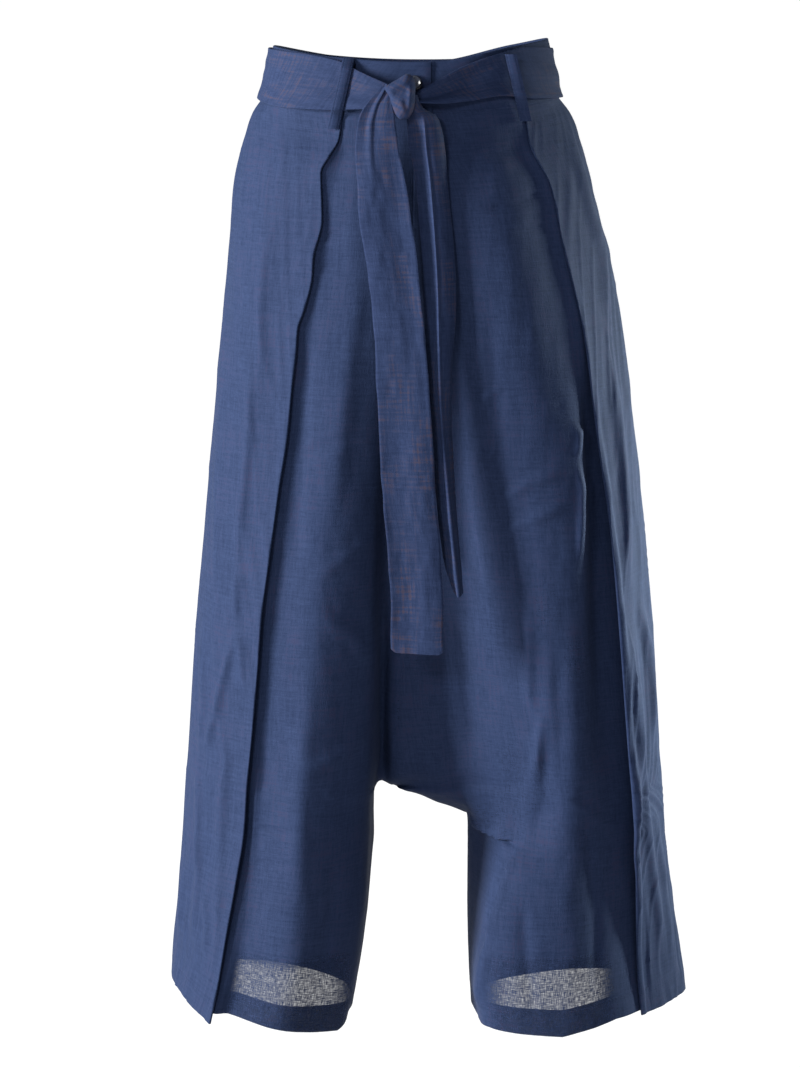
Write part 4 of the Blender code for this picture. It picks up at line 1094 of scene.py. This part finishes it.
def sheerness(name, sheet):
    """From 0 to 1: full low on the leg, faint in patches over the drape, none where the pleat is layered."""
    face, side = name.split("_")
    x, drop = sheet[..., 0], -sheet[..., 2]
    patches = smooth_step(soft_noise(x, drop, 30, 55, 77), -0.1, 0.8) * smooth_step(drop, 400, 520)
    if face == "back":
        return 0.3 + 0.3 * np.maximum(patches, smooth_step(drop, 600, 700))
    from_middle = np.abs(x - SHEER_MIDDLE[side])
    low = 1 - smooth_step(from_middle, SHEER_HALF_WIDTH - 22, SHEER_HALF_WIDTH + 6)
    low = low * smooth_step(drop, SHEER_FROM, SHEER_FULL_AT)
    single = 1 - smooth_step(np.arange(sheet.shape[1])[None, :], FRONT_AT["outer"], FRONT_AT["outer"] + 6)
    turned_up = np.arange(len(sheet))[:, None] >= len(sheet) - HEM_STEPS - 2
    return np.maximum(0.2 * patches * (side == "left"), low) * single * (1 - 0.6 * turned_up)


panels, hem_lines = {}, {}
for name, flipped in FLIPPED.items():
    grid, outward = with_hem(sheets[name], normals[name])
    uv = weave_uv(grid, FRONT_AT["mid"] if name.startswith("front") else sum(BACK_STEPS[:2]))
    sheer = sheerness(name, grid)
    panels[name] = cloth_wall(name + "_cloth", grid, outward, CLOTH, uv, flipped, trouser_linen, sheer)
    hem_lines[name] = sheets[name][-HEM_STEPS] + normals[name][-HEM_STEPS] * CLOTH / 2
print("panel faces:", {name: len(piece.data.polygons) for name, piece in panels.items()})

# %% [markdown]
# ## The waistband
# One strip of doubled cloth goes once round the waist, and its outer end laps over its inner end at the
# front. Its top edge is a fold, so it is rounded, and the trousers' cloth runs up between its two layers.

# %% Waistband
LAP_OUTER_END, LAP_INNER_END, LAP_EASE, LAP_STEP = 14.5, -12.0, 45.0, 2.3
BAND_CLOTH, BAND_COLUMNS, BAND_ROWS = 2.0, 300, 16
STITCH_DIP, STITCH_DIP_WIDTH = 0.3, 1.2
BAND_DENTS = (0.35, 14, 22, 301), (0.2, 5, 9, 302)


def oval_point(angle, drop, out):
    """A point of the waist oval, moved out by a distance. The angle runs from the front to the right."""
    flare = drop / WAISTBAND_HEIGHT
    half_width = WAIST_WIDTH / 2 + WAISTBAND_FLARE * flare + out
    half_width = half_width * np.where(np.sin(angle) < 0, WAIST_LEFT_SHARE, 1.0)
    half_depth = WAIST_DEPTH / 2 + WAISTBAND_FLARE_DEPTH * flare + out
    power = 2 / WAIST_SQUARENESS
    x = -np.sign(np.sin(angle)) * half_width * np.abs(np.sin(angle)) ** power
    return x, -np.sign(np.cos(angle)) * half_depth * np.abs(np.cos(angle)) ** power


def angle_at(x):
    """The oval's angle where the front crosses an X, just to the right of the centre when X is negative."""
    half_width = (WAIST_WIDTH / 2 + WAISTBAND_FLARE / 2) * (WAIST_LEFT_SHARE if x > 0 else 1.0)
    return -math.copysign(math.asin((abs(x) / half_width) ** (WAIST_SQUARENESS / 2)), x)


def spread_rows(count):
    """Shares from 0 to 1 that lie closer together at both ends, as half a cosine wave."""
    return 0.5 - 0.5 * np.cos(np.linspace(0, math.pi, count))


def waistband_sheet():
    """The band's mid surface: rows from the top edge to the seam, columns from inner end to outer end."""
    full_turn = 2 * math.pi
    start, stop = angle_at(LAP_INNER_END), angle_at(LAP_OUTER_END) - full_turn
    angles = np.linspace(start, stop, BAND_COLUMNS)
    top_x, top_y = oval_point(angles, 0, 0)
    seam_x, _ = oval_point(angles, WAISTBAND_HEIGHT, 0)
    lap_from, lap_to = (full_turn - angle_at(LAP_INNER_END - ease) for ease in (LAP_EASE, 4))
    lapped = smooth_step(-angles, lap_from, lap_to)
    share = spread_rows(BAND_ROWS)[:, None]
    x, y = oval_point(angles, WAISTBAND_HEIGHT * share, lapped * LAP_STEP)
    dips = (1 - share) * edge_dip(top_x, top_y < 0, top=True) + share * edge_dip(seam_x, top_y < 0)
    return np.stack([x, y, -WAISTBAND_HEIGHT * share - dips], axis=-1)


band = waistband_sheet()
band_run, band_down = run_across(band), run_across(band.swapaxes(0, 1)).T
from_seam = band_down[-1] - band_down
band_dents = noises(band_run, band_down, BAND_DENTS)
for edge, place in ((band_down, 3.0), (from_seam, 2.5)):
    band_dents = band_dents - STITCH_DIP * bell(edge - place, STITCH_DIP_WIDTH)
from_edge = np.minimum(from_ends(band_down, 0), from_ends(band_run, 1))
band = band + grid_normals(band, True) * (band_dents * smooth_step(from_edge, 0, 3))[..., None]
waistband = folded_strip("waistband_cloth", band, BAND_CLOTH, from_edge, doubled_linen)
print(f"waistband {band_run[0, -1]:.0f} mm round its top")

# %% [markdown]
# ## The belt round the waist
# The belt is a folded strip of the same linen. It lies over the waistband, under the loops, and is drawn
# together into folds where it runs into the knot.

# %% Belt band
BELT = table("""
    turn top bottom
    0.00 -32 -52
    0.03 -21 -53
    0.06 -11 -54
    0.12  -5 -53
    0.24  -2 -47
    0.50 -15 -59
    0.76  -2 -46
    0.86   0 -45
    0.91  -6 -42
    0.95 -15 -46
    0.98 -27 -48
    1.00 -38 -47
""")
BELT_CLOTH, BELT_LEAN, BELT_OUT = 1.3, 0.85, 4.35
BELT_COLUMNS, BELT_ROWS = 420, 30
BELT_DENTS = (0.35, 30, 6, 311), (0.3, 12, 10, 312)
KNOT_CENTRE, KNOT_DEPTH, KNOT_SIDE, KNOT_REACH = (-10.0, -119.0, -41.5), 10.5, 9.0, 9.0


def wave(turns, phase=0.0):
    """One wave for each turn."""
    return np.cos(2 * math.pi * (turns + phase))


def belt_sheet():
    """The belt's mid surface, with rows from the top edge down, and each column's share of the way round."""
    start, stop = angle_at(KNOT_CENTRE[0] - KNOT_SIDE), angle_at(KNOT_CENTRE[0] + KNOT_SIDE) + 2 * math.pi
    share = np.linspace(0, 1, BELT_COLUMNS)
    turns = 0.5 + 0.5 * np.sign(share - 0.5) * np.abs(2 * share - 1) ** 0.8
    angles = start + (stop - start) * turns
    top, bottom = eased(BELT, "top", turns), eased(BELT, "bottom", turns)
    bulge = KNOT_REACH * (1 - smooth_step(np.minimum(turns, 1 - turns), 0.0, 0.06))
    level = top + (bottom - top) * spread_rows(BELT_ROWS)[:, None]
    x, y = oval_point(angles, -level * BELT_LEAN, BELT_OUT)
    return np.stack([x, y - bulge, level], axis=-1), turns


def belt_folds(turns, height, run, down):
    """How far the belt's folds stand out: long waves that the knot draws in on each side, one along the
    left side, and small dents. The lower edge stands off, most of all near the knot."""
    right_pull, left_pull = 1 - smooth_step(turns, 0.01, 0.16), smooth_step(turns, 0.84, 0.99)
    along_side = smooth_step(turns, 0.68, 0.76) * (1 - smooth_step(turns, 0.88, 0.94))
    slant = height - 7.0 * (turns - 0.92)
    folds = right_pull * 0.5 * wave(1.1 * height, 0.1) + along_side * 0.9 * wave(1.6 * height + 1.5 * turns)
    folds = folds + left_pull * (1.1 * wave(1.25 * slant, 0.3) + 0.35 * np.cos(17 * slant))
    folds = folds + noises(run, down, BELT_DENTS)
    stands_off = (1.3 + 2.0 * left_pull + 1.2 * right_pull) * smooth_step(height, 0.6, 1.0)
    return np.maximum(folds, -0.5) * smooth_step(from_ends(down, 0), 0, 4) + stands_off


belt, belt_turns = belt_sheet()
belt_run, belt_down = run_across(belt), np.linalg.norm(belt - belt[:1], axis=2)
lifted = belt_folds(belt_turns, spread_rows(BELT_ROWS)[:, None], belt_run, belt_down)
belt = belt + grid_normals(belt, False) * lifted[..., None]
belt_edge = from_ends(belt_down, 0)
belt_band = folded_strip("belt_cloth", belt, BELT_CLOTH, belt_edge, belt_linen, False, weave_across=True)
print(f"belt {belt_run[0, -1]:.0f} mm round, {belt_down[-1].max():.0f} mm wide at most")

# %% [markdown]
# ## The knot
# The knot is the belt wrapped once over itself and pulled tight, so its layers are pressed into one small
# pillow. Its outline leans like a shield, wide at the shoulder where the cloth comes over and narrow where
# it tucks under. A few slanting folds show the way that it was pulled.

# %% Knot
KNOT_OUTLINE = table("""
    turn x z
      0  0.5 -41
     22  0.8 -33
     48 -1.5 -24
     75 -6.5 -22
    100  -14 -26
    130  -21 -30
    155  -26 -34
    180  -22 -41
    215  -20 -48
    240  -17 -56
    265  -12 -61
    290   -6 -60
    320   -2 -55
    342    0 -48
    360  0.5 -41
""")
KNOT_FOLDS = table("""
    x0 d0 x1 d1 x2 d2 width height
    -25 34 -15 31 -3 26 3.2  1.0
    -20 40 -13 38 -3 37 2.4 -0.5
    -17 45 -12 46 -8 57 3.0  0.9
     -4 30  -4 42 -5 54 2.6  0.8
""")
KNOT_RINGS, KNOT_SEGMENTS = 56, 96


def knot_pillow():
    """Closed rings about the front-back axis: outline * sin(t)^0.5 across, and depth * cos(t)^0.6."""
    tilt = np.linspace(0, math.pi, KNOT_RINGS + 1)[1:-1, None]
    turn = np.linspace(0, 360, KNOT_SEGMENTS, endpoint=False)[None, :]
    share, depth = np.sin(tilt) ** 0.5, np.sign(np.cos(tilt)) * np.abs(np.cos(tilt)) ** 0.6 * KNOT_DEPTH
    x = KNOT_CENTRE[0] + (eased(KNOT_OUTLINE, "x", turn) - KNOT_CENTRE[0]) * share
    z = KNOT_CENTRE[2] + (eased(KNOT_OUTLINE, "z", turn) - KNOT_CENTRE[2]) * share
    folded = creases(KNOT_FOLDS, x, -z) * smooth_step(np.cos(tilt), 0, 0.35)
    y = KNOT_CENTRE[1] - depth - folded
    ends = [[KNOT_CENTRE[0], end.mean(), KNOT_CENTRE[2]] for end in (y[0], y[-1])]
    return capped_rings(np.stack([x, y, z], axis=-1).reshape(-1, 3), ends, KNOT_SEGMENTS)


KNOT_GRAIN = np.array([[0.9, 0.44], [-0.44, 0.9]])
knot_points, knot_faces = knot_pillow()
knot_uv = (knot_points[:, [0, 2]] @ KNOT_GRAIN) * MM
knot_cloth = mesh_piece("knot_cloth", knot_points, knot_faces, belt_linen, knot_uv)
print(f"knot {np.ptp(knot_points[:, 0]):.0f} by {np.ptp(knot_points[:, 2]):.0f} mm")

# %% [markdown]
# ## The belt's two tails
# Both ends hang from under the knot. One hangs flat. The other is folded along its length, and its pressed
# fold stands a little forward like a keel, with a half going back on each side. Both start gathered and
# open out as they hang.

# %% Tail tables and sheets
TAIL_WIDE = table("""
    drop left_x right_x left_y right_y
     31 -27 -19 -117 -119
     38 -33 -19 -119 -122
     46 -40 -19 -120 -124
     55 -46 -17 -121 -125
     64 -49 -16 -122 -126
     76 -50 -14 -122 -127
     90 -50 -12 -122 -126
    130 -50  -6 -121 -124
    220 -38   6 -119 -123
    330 -32  15 -120 -124
    430 -25  22 -121 -121
    535 -20  27 -120 -123
""")
TAIL_EDGE = table("""
    drop left_x left_y keel_x keel_y bend_x bend_y rear_x rear_y
     40 -9 -118 -5 -122  0 -120  2 -117
     51 -8 -114 -1 -122  5 -120  7 -116
     58 -7 -112  7 -121 15 -118 19 -114
     67 -6 -111  9 -119 18 -117 23 -112
     80 -5 -111 10 -118 20 -116 26 -111
    113  1 -110 14 -118 23 -116 29 -110
    215  8 -110 21 -118 30 -116 37 -110
    300 12 -109 23 -118 29 -115 33 -109
    400 20 -108 31 -118 34 -115 37 -107
    450 26 -109 36 -118 39 -115 41 -110
    484 36 -113 40 -118 42 -117 44 -115
""")
TAIL_WIDTH, TAIL_ROWS, TAIL_COLUMNS, TAIL_EDGE_STEPS, TIP_RADIUS = 46.0, 230, 44, (22, 16, 10), 6.0
WIDE_TAIL_DENTS = (0.6, 13, 50, 403), (0.35, 6, 14, 404)
EDGE_TAIL_DENTS = (0.4, 11, 48, 411), (0.25, 5, 16, 412)


def gathers(across, drops, count, phase):
    """Folds that start deep under the knot and open out down the tail."""
    depth = 0.9 * (1 - smooth_step(drops, 62, 190)) * smooth_step(drops, 36, 50)
    return depth * np.cos(2 * math.pi * count * across + phase + drops / 90)


def wide_tail_sheet():
    """Rows down, columns straight between the two edges, and then folded a little."""
    drops = np.linspace(TAIL_WIDE["drop"][0], TAIL_WIDE["drop"][-1], TAIL_ROWS)[:, None]
    across = np.linspace(0, 1, TAIL_COLUMNS)[None, :]
    first, second = (feature(TAIL_WIDE, side, drops) for side in ("left", "right"))
    x, y = first * (1 - across) + second * across
    x = x + 1.1 * soft_noise(across * 0, drops, 1, 44, 401) + 0.5 * soft_noise(across * 3, drops, 1, 17, 402)
    y = y - 1.6 * np.sin(2 * math.pi * across) * np.sin(drops / 90) * smooth_step(drops, 60, 120)
    y = y - gathers(across, drops, 1.1, 0.8) - noises(across * TAIL_WIDTH, drops, WIDE_TAIL_DENTS)
    tuck = bell(across - 0.42 + 0.0009 * drops, 0.07)
    y = y - 2.2 * tuck * (1 - smooth_step(drops, 60, 135))
    return np.stack([x, y, -drops - 1.5 * across * (drops / drops[-1]) ** 8], axis=-1)


def edge_tail_sheet():
    """Rows down, columns from the left half's free edge over the keel to the right half's free edge."""
    rows = []
    for drop in np.linspace(TAIL_EDGE["drop"][0], TAIL_EDGE["drop"][-1], TAIL_ROWS):
        places = [feature(TAIL_EDGE, name, drop) for name in ("left", "keel", "bend", "rear")]
        before, after = 2 * places[0] - places[1], 2 * places[3] - places[2]
        curve = through([before, *places, after], TAIL_EDGE_STEPS)
        rows.append(np.column_stack([curve, np.full(len(curve), -drop)]))
    sheet = np.array(rows)
    out = grid_normals(sheet, True)
    run, down = run_across(sheet), -sheet[..., 2]
    dents = noises(run, down, EDGE_TAIL_DENTS)
    from_keel = run - run[:, TAIL_EDGE_STEPS[0]][:, None]
    pressed = 1.6 * bell(from_keel, 1.1) * smooth_step(down, 52, 70)
    return sheet + out * (dents + pressed)[..., None]


def rounded_tip(sheet):
    """Lifts the last rows at both corners, so that the tail's end has rounded corners."""
    run, up = run_across(sheet), sheet[..., 2]
    corner = np.clip(1 - from_ends(run, 1) / TIP_RADIUS, 0, 1) ** 2 * TIP_RADIUS * 0.6
    near_tip = np.clip(1 - (up - up[-1:]) / 30, 0, 1) ** 2
    return sheet + (corner * near_tip)[..., None] * [0, 0, 1]


tails = {}
for name, sheet in (("tail_wide_cloth", wide_tail_sheet()), ("tail_edge_cloth", edge_tail_sheet())):
    sheet = rounded_tip(sheet)
    run, down = run_across(sheet), -sheet[..., 2]
    from_edge = np.minimum(from_ends(run, 1), down[-1:] - down)
    tails[name] = (folded_strip(name, sheet, BELT_CLOTH, from_edge, belt_linen), sheet)
    print(f"{name} {run[TAIL_ROWS // 2, -1]:.0f} mm wide and {np.ptp(down):.0f} mm long")

# %% [markdown]
# ## Belt loops
# A loop is a narrow folded strip with a row of stitching along each side. It is sewn to the band's top edge
# and below the waist seam, and bridges the belt, so its path is found by looking from the front at what
# lies behind it.

# %% Loops
LOOP_WIDTH, LOOP_CLOTH, LOOP_ROWS, LOOP_COLUMNS = 10.5, 1.2, 60, 14
LOOP_ROOM, LOOP_CROWN, LOOP_GROOVE, LOOP_GROOVE_AT, LOOP_EASINGS = 0.8, 0.7, 0.35, 1.6, 30
LOOP_ENDS = {
    "loop_right": ((-57, -9), (-71, -70), -1),
    "loop_left": ((84, -6), (98, -64), -1),
    "loop_back": ((0, -19), (0, -76), 1),
}


def surface_behind(pieces):
    """One search tree over the meshes of some pieces, in metres."""
    points, faces, start = [], [], 0
    for piece in pieces:
        co = np.empty(len(piece.data.vertices) * 3)
        piece.data.vertices.foreach_get("co", co)
        corners = np.empty(len(piece.data.loops), int)
        piece.data.loops.foreach_get("vertex_index", corners)
        points += co.reshape(-1, 3).tolist()
        faces += (corners.reshape(-1, 4) + start).tolist()
        start += len(co) // 3
    return BVHTree.FromPolygons(points, faces)


def loop_sheet(top, bottom, facing):
    """A strip on the frontmost surface behind it: ray casts across its width, eased along its length."""
    share = np.linspace(0, 1, LOOP_ROWS)
    xs, zs = top[0] + (bottom[0] - top[0]) * share, top[1] + (bottom[1] - top[1]) * share
    reach = []
    for x, z in zip(xs, zs):
        starts = (Vector(((x + dx) * MM, facing * 0.5, z * MM)) for dx in (-6, -3, 0, 3, 6))
        hits = [TREE.ray_cast(start, Vector((0, -facing, 0)))[0] for start in starts]
        reach.append(max(facing * hit.y / MM for hit in hits if hit is not None))
    level = np.array(reach)
    for _ in range(LOOP_EASINGS):
        level[1:-1] = np.maximum((level[:-2] + level[1:-1] + level[2:]) / 3, reach[1:-1])
    across = np.linspace(-0.5, 0.5, LOOP_COLUMNS)
    from_side = (0.5 - np.abs(across)) * LOOP_WIDTH
    crown = LOOP_CROWN * np.cos(math.pi * across) - LOOP_GROOVE * bell(from_side - LOOP_GROOVE_AT, 0.6)
    x, y = xs[:, None] - facing * LOOP_WIDTH * across, facing * (level[:, None] + LOOP_ROOM + crown)
    return np.stack([x, y, np.broadcast_to(zs[:, None], y.shape)], axis=-1)


TREE = surface_behind([*panels.values(), waistband, belt_band])
loops = {}
for name, (top, bottom, facing) in LOOP_ENDS.items():
    sheet = loop_sheet(top, bottom, facing)
    from_edge = from_ends(run_across(sheet), 1)
    loops[name] = (folded_strip(name + "_cloth", sheet, LOOP_CLOTH, from_edge, doubled_linen), sheet)
print("loops:", ", ".join(loops))

# %% [markdown]
# ## The button
# A small round button closes the lap. It is turned from dark resin with a raised rim and a dished middle,
# and the knot hides its holes. A turned shape is a profile of radii and heights, swept round.

# %% Button
BUTTON_X, BUTTON_Z, BUTTON_ROOM, BUTTON_SEGMENTS = 0.0, -30.2, 0.3, 48
BUTTON_PROFILE = table("""
    radius height
    0.0  0.9
    2.6  0.9
    3.6 1.05
    4.2 1.55
    4.8  2.1
    5.4  2.3
    6.0  2.1
    6.4  1.6
    6.5  1.0
    6.3  0.4
    5.6  0.0
    0.0  0.0
""")


def turned(profile, place, tilt):
    """A closed turned shape on the band's leaning face: rings of the profile, from the back to the front."""
    angle = np.linspace(0, 2 * math.pi, BUTTON_SEGMENTS, endpoint=False)
    radius, height = profile["radius"][-2:0:-1, None], profile["height"][-2:0:-1, None]
    rings = np.stack([radius * np.cos(angle), radius * np.sin(angle), height + 0 * angle], axis=-1)
    ends = np.array([[0, 0, profile["height"][-1]], [0, 0, profile["height"][0]]])
    lean = np.array([[1, 0, 0], [0, math.sin(tilt), math.cos(tilt)], [0, -math.cos(tilt), math.sin(tilt)]])
    points, faces = capped_rings(rings.reshape(-1, 3), ends, BUTTON_SEGMENTS)
    return np.array(place) + points @ lean, faces


front_height_mm = WAISTBAND_HEIGHT + FRONT_DIP_SEAM - FRONT_DIP_TOP
button_drop = (-BUTTON_Z - FRONT_DIP_TOP) * WAISTBAND_HEIGHT / front_height_mm
lap_face = float(oval_y(BUTTON_X, button_drop)) + LAP_STEP + BAND_CLOTH / 2
button_place = (BUTTON_X, -lap_face - BUTTON_ROOM, BUTTON_Z)
button_tilt = math.atan(WAISTBAND_FLARE_DEPTH / WAISTBAND_HEIGHT)
button_points, button_faces = turned(BUTTON_PROFILE, button_place, button_tilt)

button_resin, tree, resin = new_material("button resin")
where = linked(tree, "ShaderNodeTexCoord").outputs["Object"]
cloud = linked(tree, "ShaderNodeTexNoise", {"Vector": where, "Scale": 260.0, "Detail": 3.0}).outputs[0]
swirl = linked(tree, "ShaderNodeMapRange", {"Value": cloud, "To Min": 0.16, "To Max": 0.3}).outputs[0]
resin_colour = blend(tree, cloud, (0.006, 0.007, 0.012, 1.0), (0.03, 0.034, 0.05, 1.0))
tree.links.new(resin_colour, resin.inputs["Base Color"])
tree.links.new(swirl, resin.inputs["Roughness"])
button = mesh_piece("button_turned", button_points, button_faces, button_resin)
print(f"button {2 * BUTTON_PROFILE['radius'].max():.0f} mm across")

# %% [markdown]
# ## Stitching
# Thread holds the hems, the band's edges, the loops and the centre seam. Each stitch is a small tapered rod
# that lies on the cloth. All of one seam's stitches are copies of one little form, set along the seam by
# arrays, and all the stitches together are one mesh.

# %% Stitches
STITCH_PITCH, STITCH_LENGTH, STITCH_WIDTH, STITCH_SIDES = 3.4, 2.5, 0.42, 6
STITCH_TAPER = table("""
    along thick
    -0.5 0.35
    -0.3  1.0
     0.3  1.0
     0.5 0.35
""")


def stitch_row(line, outward, pitch=STITCH_PITCH):
    """The points of a row of stitches: form * (length, width, height) in the line's own directions."""
    at = np.arange(pitch / 2, lengths(line)[-1] - pitch / 3, pitch)
    centre, after, before = (read_along(line, line, place) for place in (at, at + 1, at - 1))
    out, ahead = unit(read_along(line, outward, at)), unit(after - before)
    across = unit(np.cross(out, ahead))
    angle = np.linspace(0, 2 * math.pi, STITCH_SIDES, endpoint=False)
    thick = STITCH_TAPER["thick"][:, None] * STITCH_WIDTH / 2
    sizes = (
        STITCH_TAPER["along"][:, None] * STITCH_LENGTH * pitch / STITCH_PITCH + 0 * angle,
        thick * np.cos(angle),
        thick * np.sin(angle),
    )
    return centre[:, None] + sum(
        size.reshape(-1, 1) * direction[:, None] for size, direction in zip(sizes, (ahead, across, out))
    )


def stitch_mesh(name, rows, material):
    """All the rows' stitches as one mesh: the same faces again for each, counted on."""
    points, rings = np.concatenate(rows), len(STITCH_TAPER["along"])
    halves = np.array([[0, 1, 2, 3], [3, 4, 5, 0]])
    last = halves + (rings - 1) * STITCH_SIDES
    form = np.concatenate([ring_quads(rings, STITCH_SIDES), halves[:, ::-1], last])
    faces = (form[None] + (np.arange(len(points)) * rings * STITCH_SIDES)[:, None, None]).reshape(-1, 4)
    flat = points.reshape(-1, 3)
    return mesh_piece(name, flat, faces, material, flat[:, [0, 2]] * MM, 60, 0.0)


CENTRE_SEAM_ROWS, LOOP_PITCH = slice(3, 130), 2.6
rows = [stitch_row(line, normals[name][-HEM_STEPS]) for name, line in hem_lines.items()]
band_out = grid_normals(band, True)
band_face = band + band_out * (BAND_CLOTH / 2 - 0.1)
rows += [stitch_row(band_face[row, 2:-2], band_out[row, 2:-2]) for row in (3, BAND_ROWS - 4)]
rows.append(stitch_row(band_face[2:-2, -3], band_out[2:-2, -3]))
for _, sheet in loops.values():
    face = sheet + grid_normals(sheet, True) * LOOP_CLOTH / 2
    out = grid_normals(face, True)
    rows += [stitch_row(face[1:-1, k], out[1:-1, k], LOOP_PITCH) for k in (2, LOOP_COLUMNS - 3)]
for name in ("front_right", "front_left"):
    line, out = sheets[name][CENTRE_SEAM_ROWS, 1], normals[name][CENTRE_SEAM_ROWS, 1]
    rows.append(stitch_row(line + out * CLOTH / 2, out))
stitching = stitch_mesh("stitching", rows, doubled_linen)
print("stitches:", sum(len(row) for row in rows))

# %% [markdown]
# ## What moves with what
# The trousers have no joints, so every piece rides on the one body. Each piece of cloth takes the place of
# its solid and says what size it was cut to.

# %% Pieces and the sizes they were cut to
PIECES = {
    "waistband": (waistband, "linen"),
    "belt_band": (belt_band, "belt_linen"),
    "belt_tail_wide": (tails["tail_wide_cloth"][0], "belt_linen"),
    "belt_tail_edge": (tails["tail_edge_cloth"][0], "belt_linen"),
    **{name: (piece, "linen") for name, piece in panels.items()},
    **{name: (piece, "linen") for name, (piece, _) in loops.items()},
    "belt_knot": (knot_cloth, "belt_linen"),
    "waist_button": (button, "button_resin"),
}
for node, (piece, slot) in PIECES.items():
    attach(piece, "root")
    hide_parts(node)
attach(stitching, "root")


def cut_size(grid):
    """A sheet's flat width, length and area in metres: its longest row, longest column and faces' sum."""
    down = np.linalg.norm(np.diff(grid, axis=0), axis=2).sum(axis=0)
    corners = [grid[:-1, :-1], grid[:-1, 1:], grid[1:, 1:], grid[1:, :-1]]
    area = 0.5 * np.linalg.norm(np.cross(corners[2] - corners[0], corners[3] - corners[1]), axis=2).sum()
    return float(run_across(grid)[:, -1].max() * MM), float(down.max() * MM), float(area * MM * MM)


def declare(piece, grid, with_pieces=()):
    """Prints the size that a piece's sheet was cut to: its flat width, length and area."""
    width, length, area = cut_size(grid)
    flat, area, with_pieces = (round(width, 3), round(length, 3)), round(area, 5), list(with_pieces)
    print(f"{piece.name}: {width:.3f} x {length:.3f} m, {area:.4f} square metres")


for name in FLIPPED:
    declare(panels[name], with_hem(sheets[name], normals[name])[0])
declare(waistband, band)
declare(belt_band, belt, [knot_cloth])
for piece, sheet in tails.values():
    declare(piece, sheet)
for piece, sheet in loops.values():
    declare(piece, sheet)

# %% [markdown]
# ## Floor and light
# The trousers stand out against a pale, even ground. A large soft light stands to the left and a little in
# front, and gives each fold a lit flank and a dark one. A small light on the right, a little behind the
# trousers, has a honeycomb that keeps its beam on the lower side panel, where it picks out the creases. A
# weak light, high in front, opens the shadows under the belt.

# %% Floor, world and lamps
bpy.context.scene.view_settings.view_transform = "Standard"
world = bpy.data.worlds.new("pale room")
world.use_nodes = True
world.node_tree.nodes["Background"].inputs["Color"].default_value = (0.75, 0.86, 1.0, 1.0)
world.node_tree.nodes["Background"].inputs["Strength"].default_value = 0.08
bpy.context.scene.world = world

FLOOR_LEVEL, FLOOR_REACH = -1.05, 300.0
floor_paint, _, paint = new_material("floor paint")
paint.inputs["Base Color"].default_value = (0.06, 0.06, 0.06, 1.0)
paint.inputs["Roughness"].default_value = 0.9
paint.inputs["Emission Color"].default_value = (1.0, 1.0, 1.0, 1.0)
paint.inputs["Emission Strength"].default_value = 1.0
floor_size = (FLOOR_REACH, FLOOR_REACH, FLOOR_LEVEL)
floor_corners = np.array([(-1, -1, 1), (1, -1, 1), (1, 1, 1), (-1, 1, 1)]) * floor_size
floor = mesh_piece("floor", floor_corners / MM, [[0, 1, 2, 3]], floor_paint)

LAMPS = {
    "left side": ((-3.6, -1.4, 0.3), -0.5, (0.8, 1.6), 180, (1.0, 0.99, 0.93), 545.0),
    "right side": ((2.3, 0.72, 0.1), -0.58, (0.4, 0.4), 29, (0.93, 1.0, 0.87), 8.2),
    "front": ((-1.2, -2.7, 1.0), -0.5, (0.5, 0.5), 180, (1.0, 1.0, 1.0), 38.0),
}
for name, (place, aim_height, size, spread, colour, power) in LAMPS.items():
    data = bpy.data.lights.new(name, "AREA")
    data.shape, data.size, data.size_y, data.energy = "RECTANGLE", size[0], size[1], power
    data.spread = math.radians(spread)
    data.color = colour
    lamp = add_object(name, data)
    lamp.location = place
    lamp.rotation_euler = (Vector((0, 0, aim_height)) - Vector(place)).to_track_quat("-Z", "Y").to_euler()
print("lamps:", ", ".join(LAMPS))
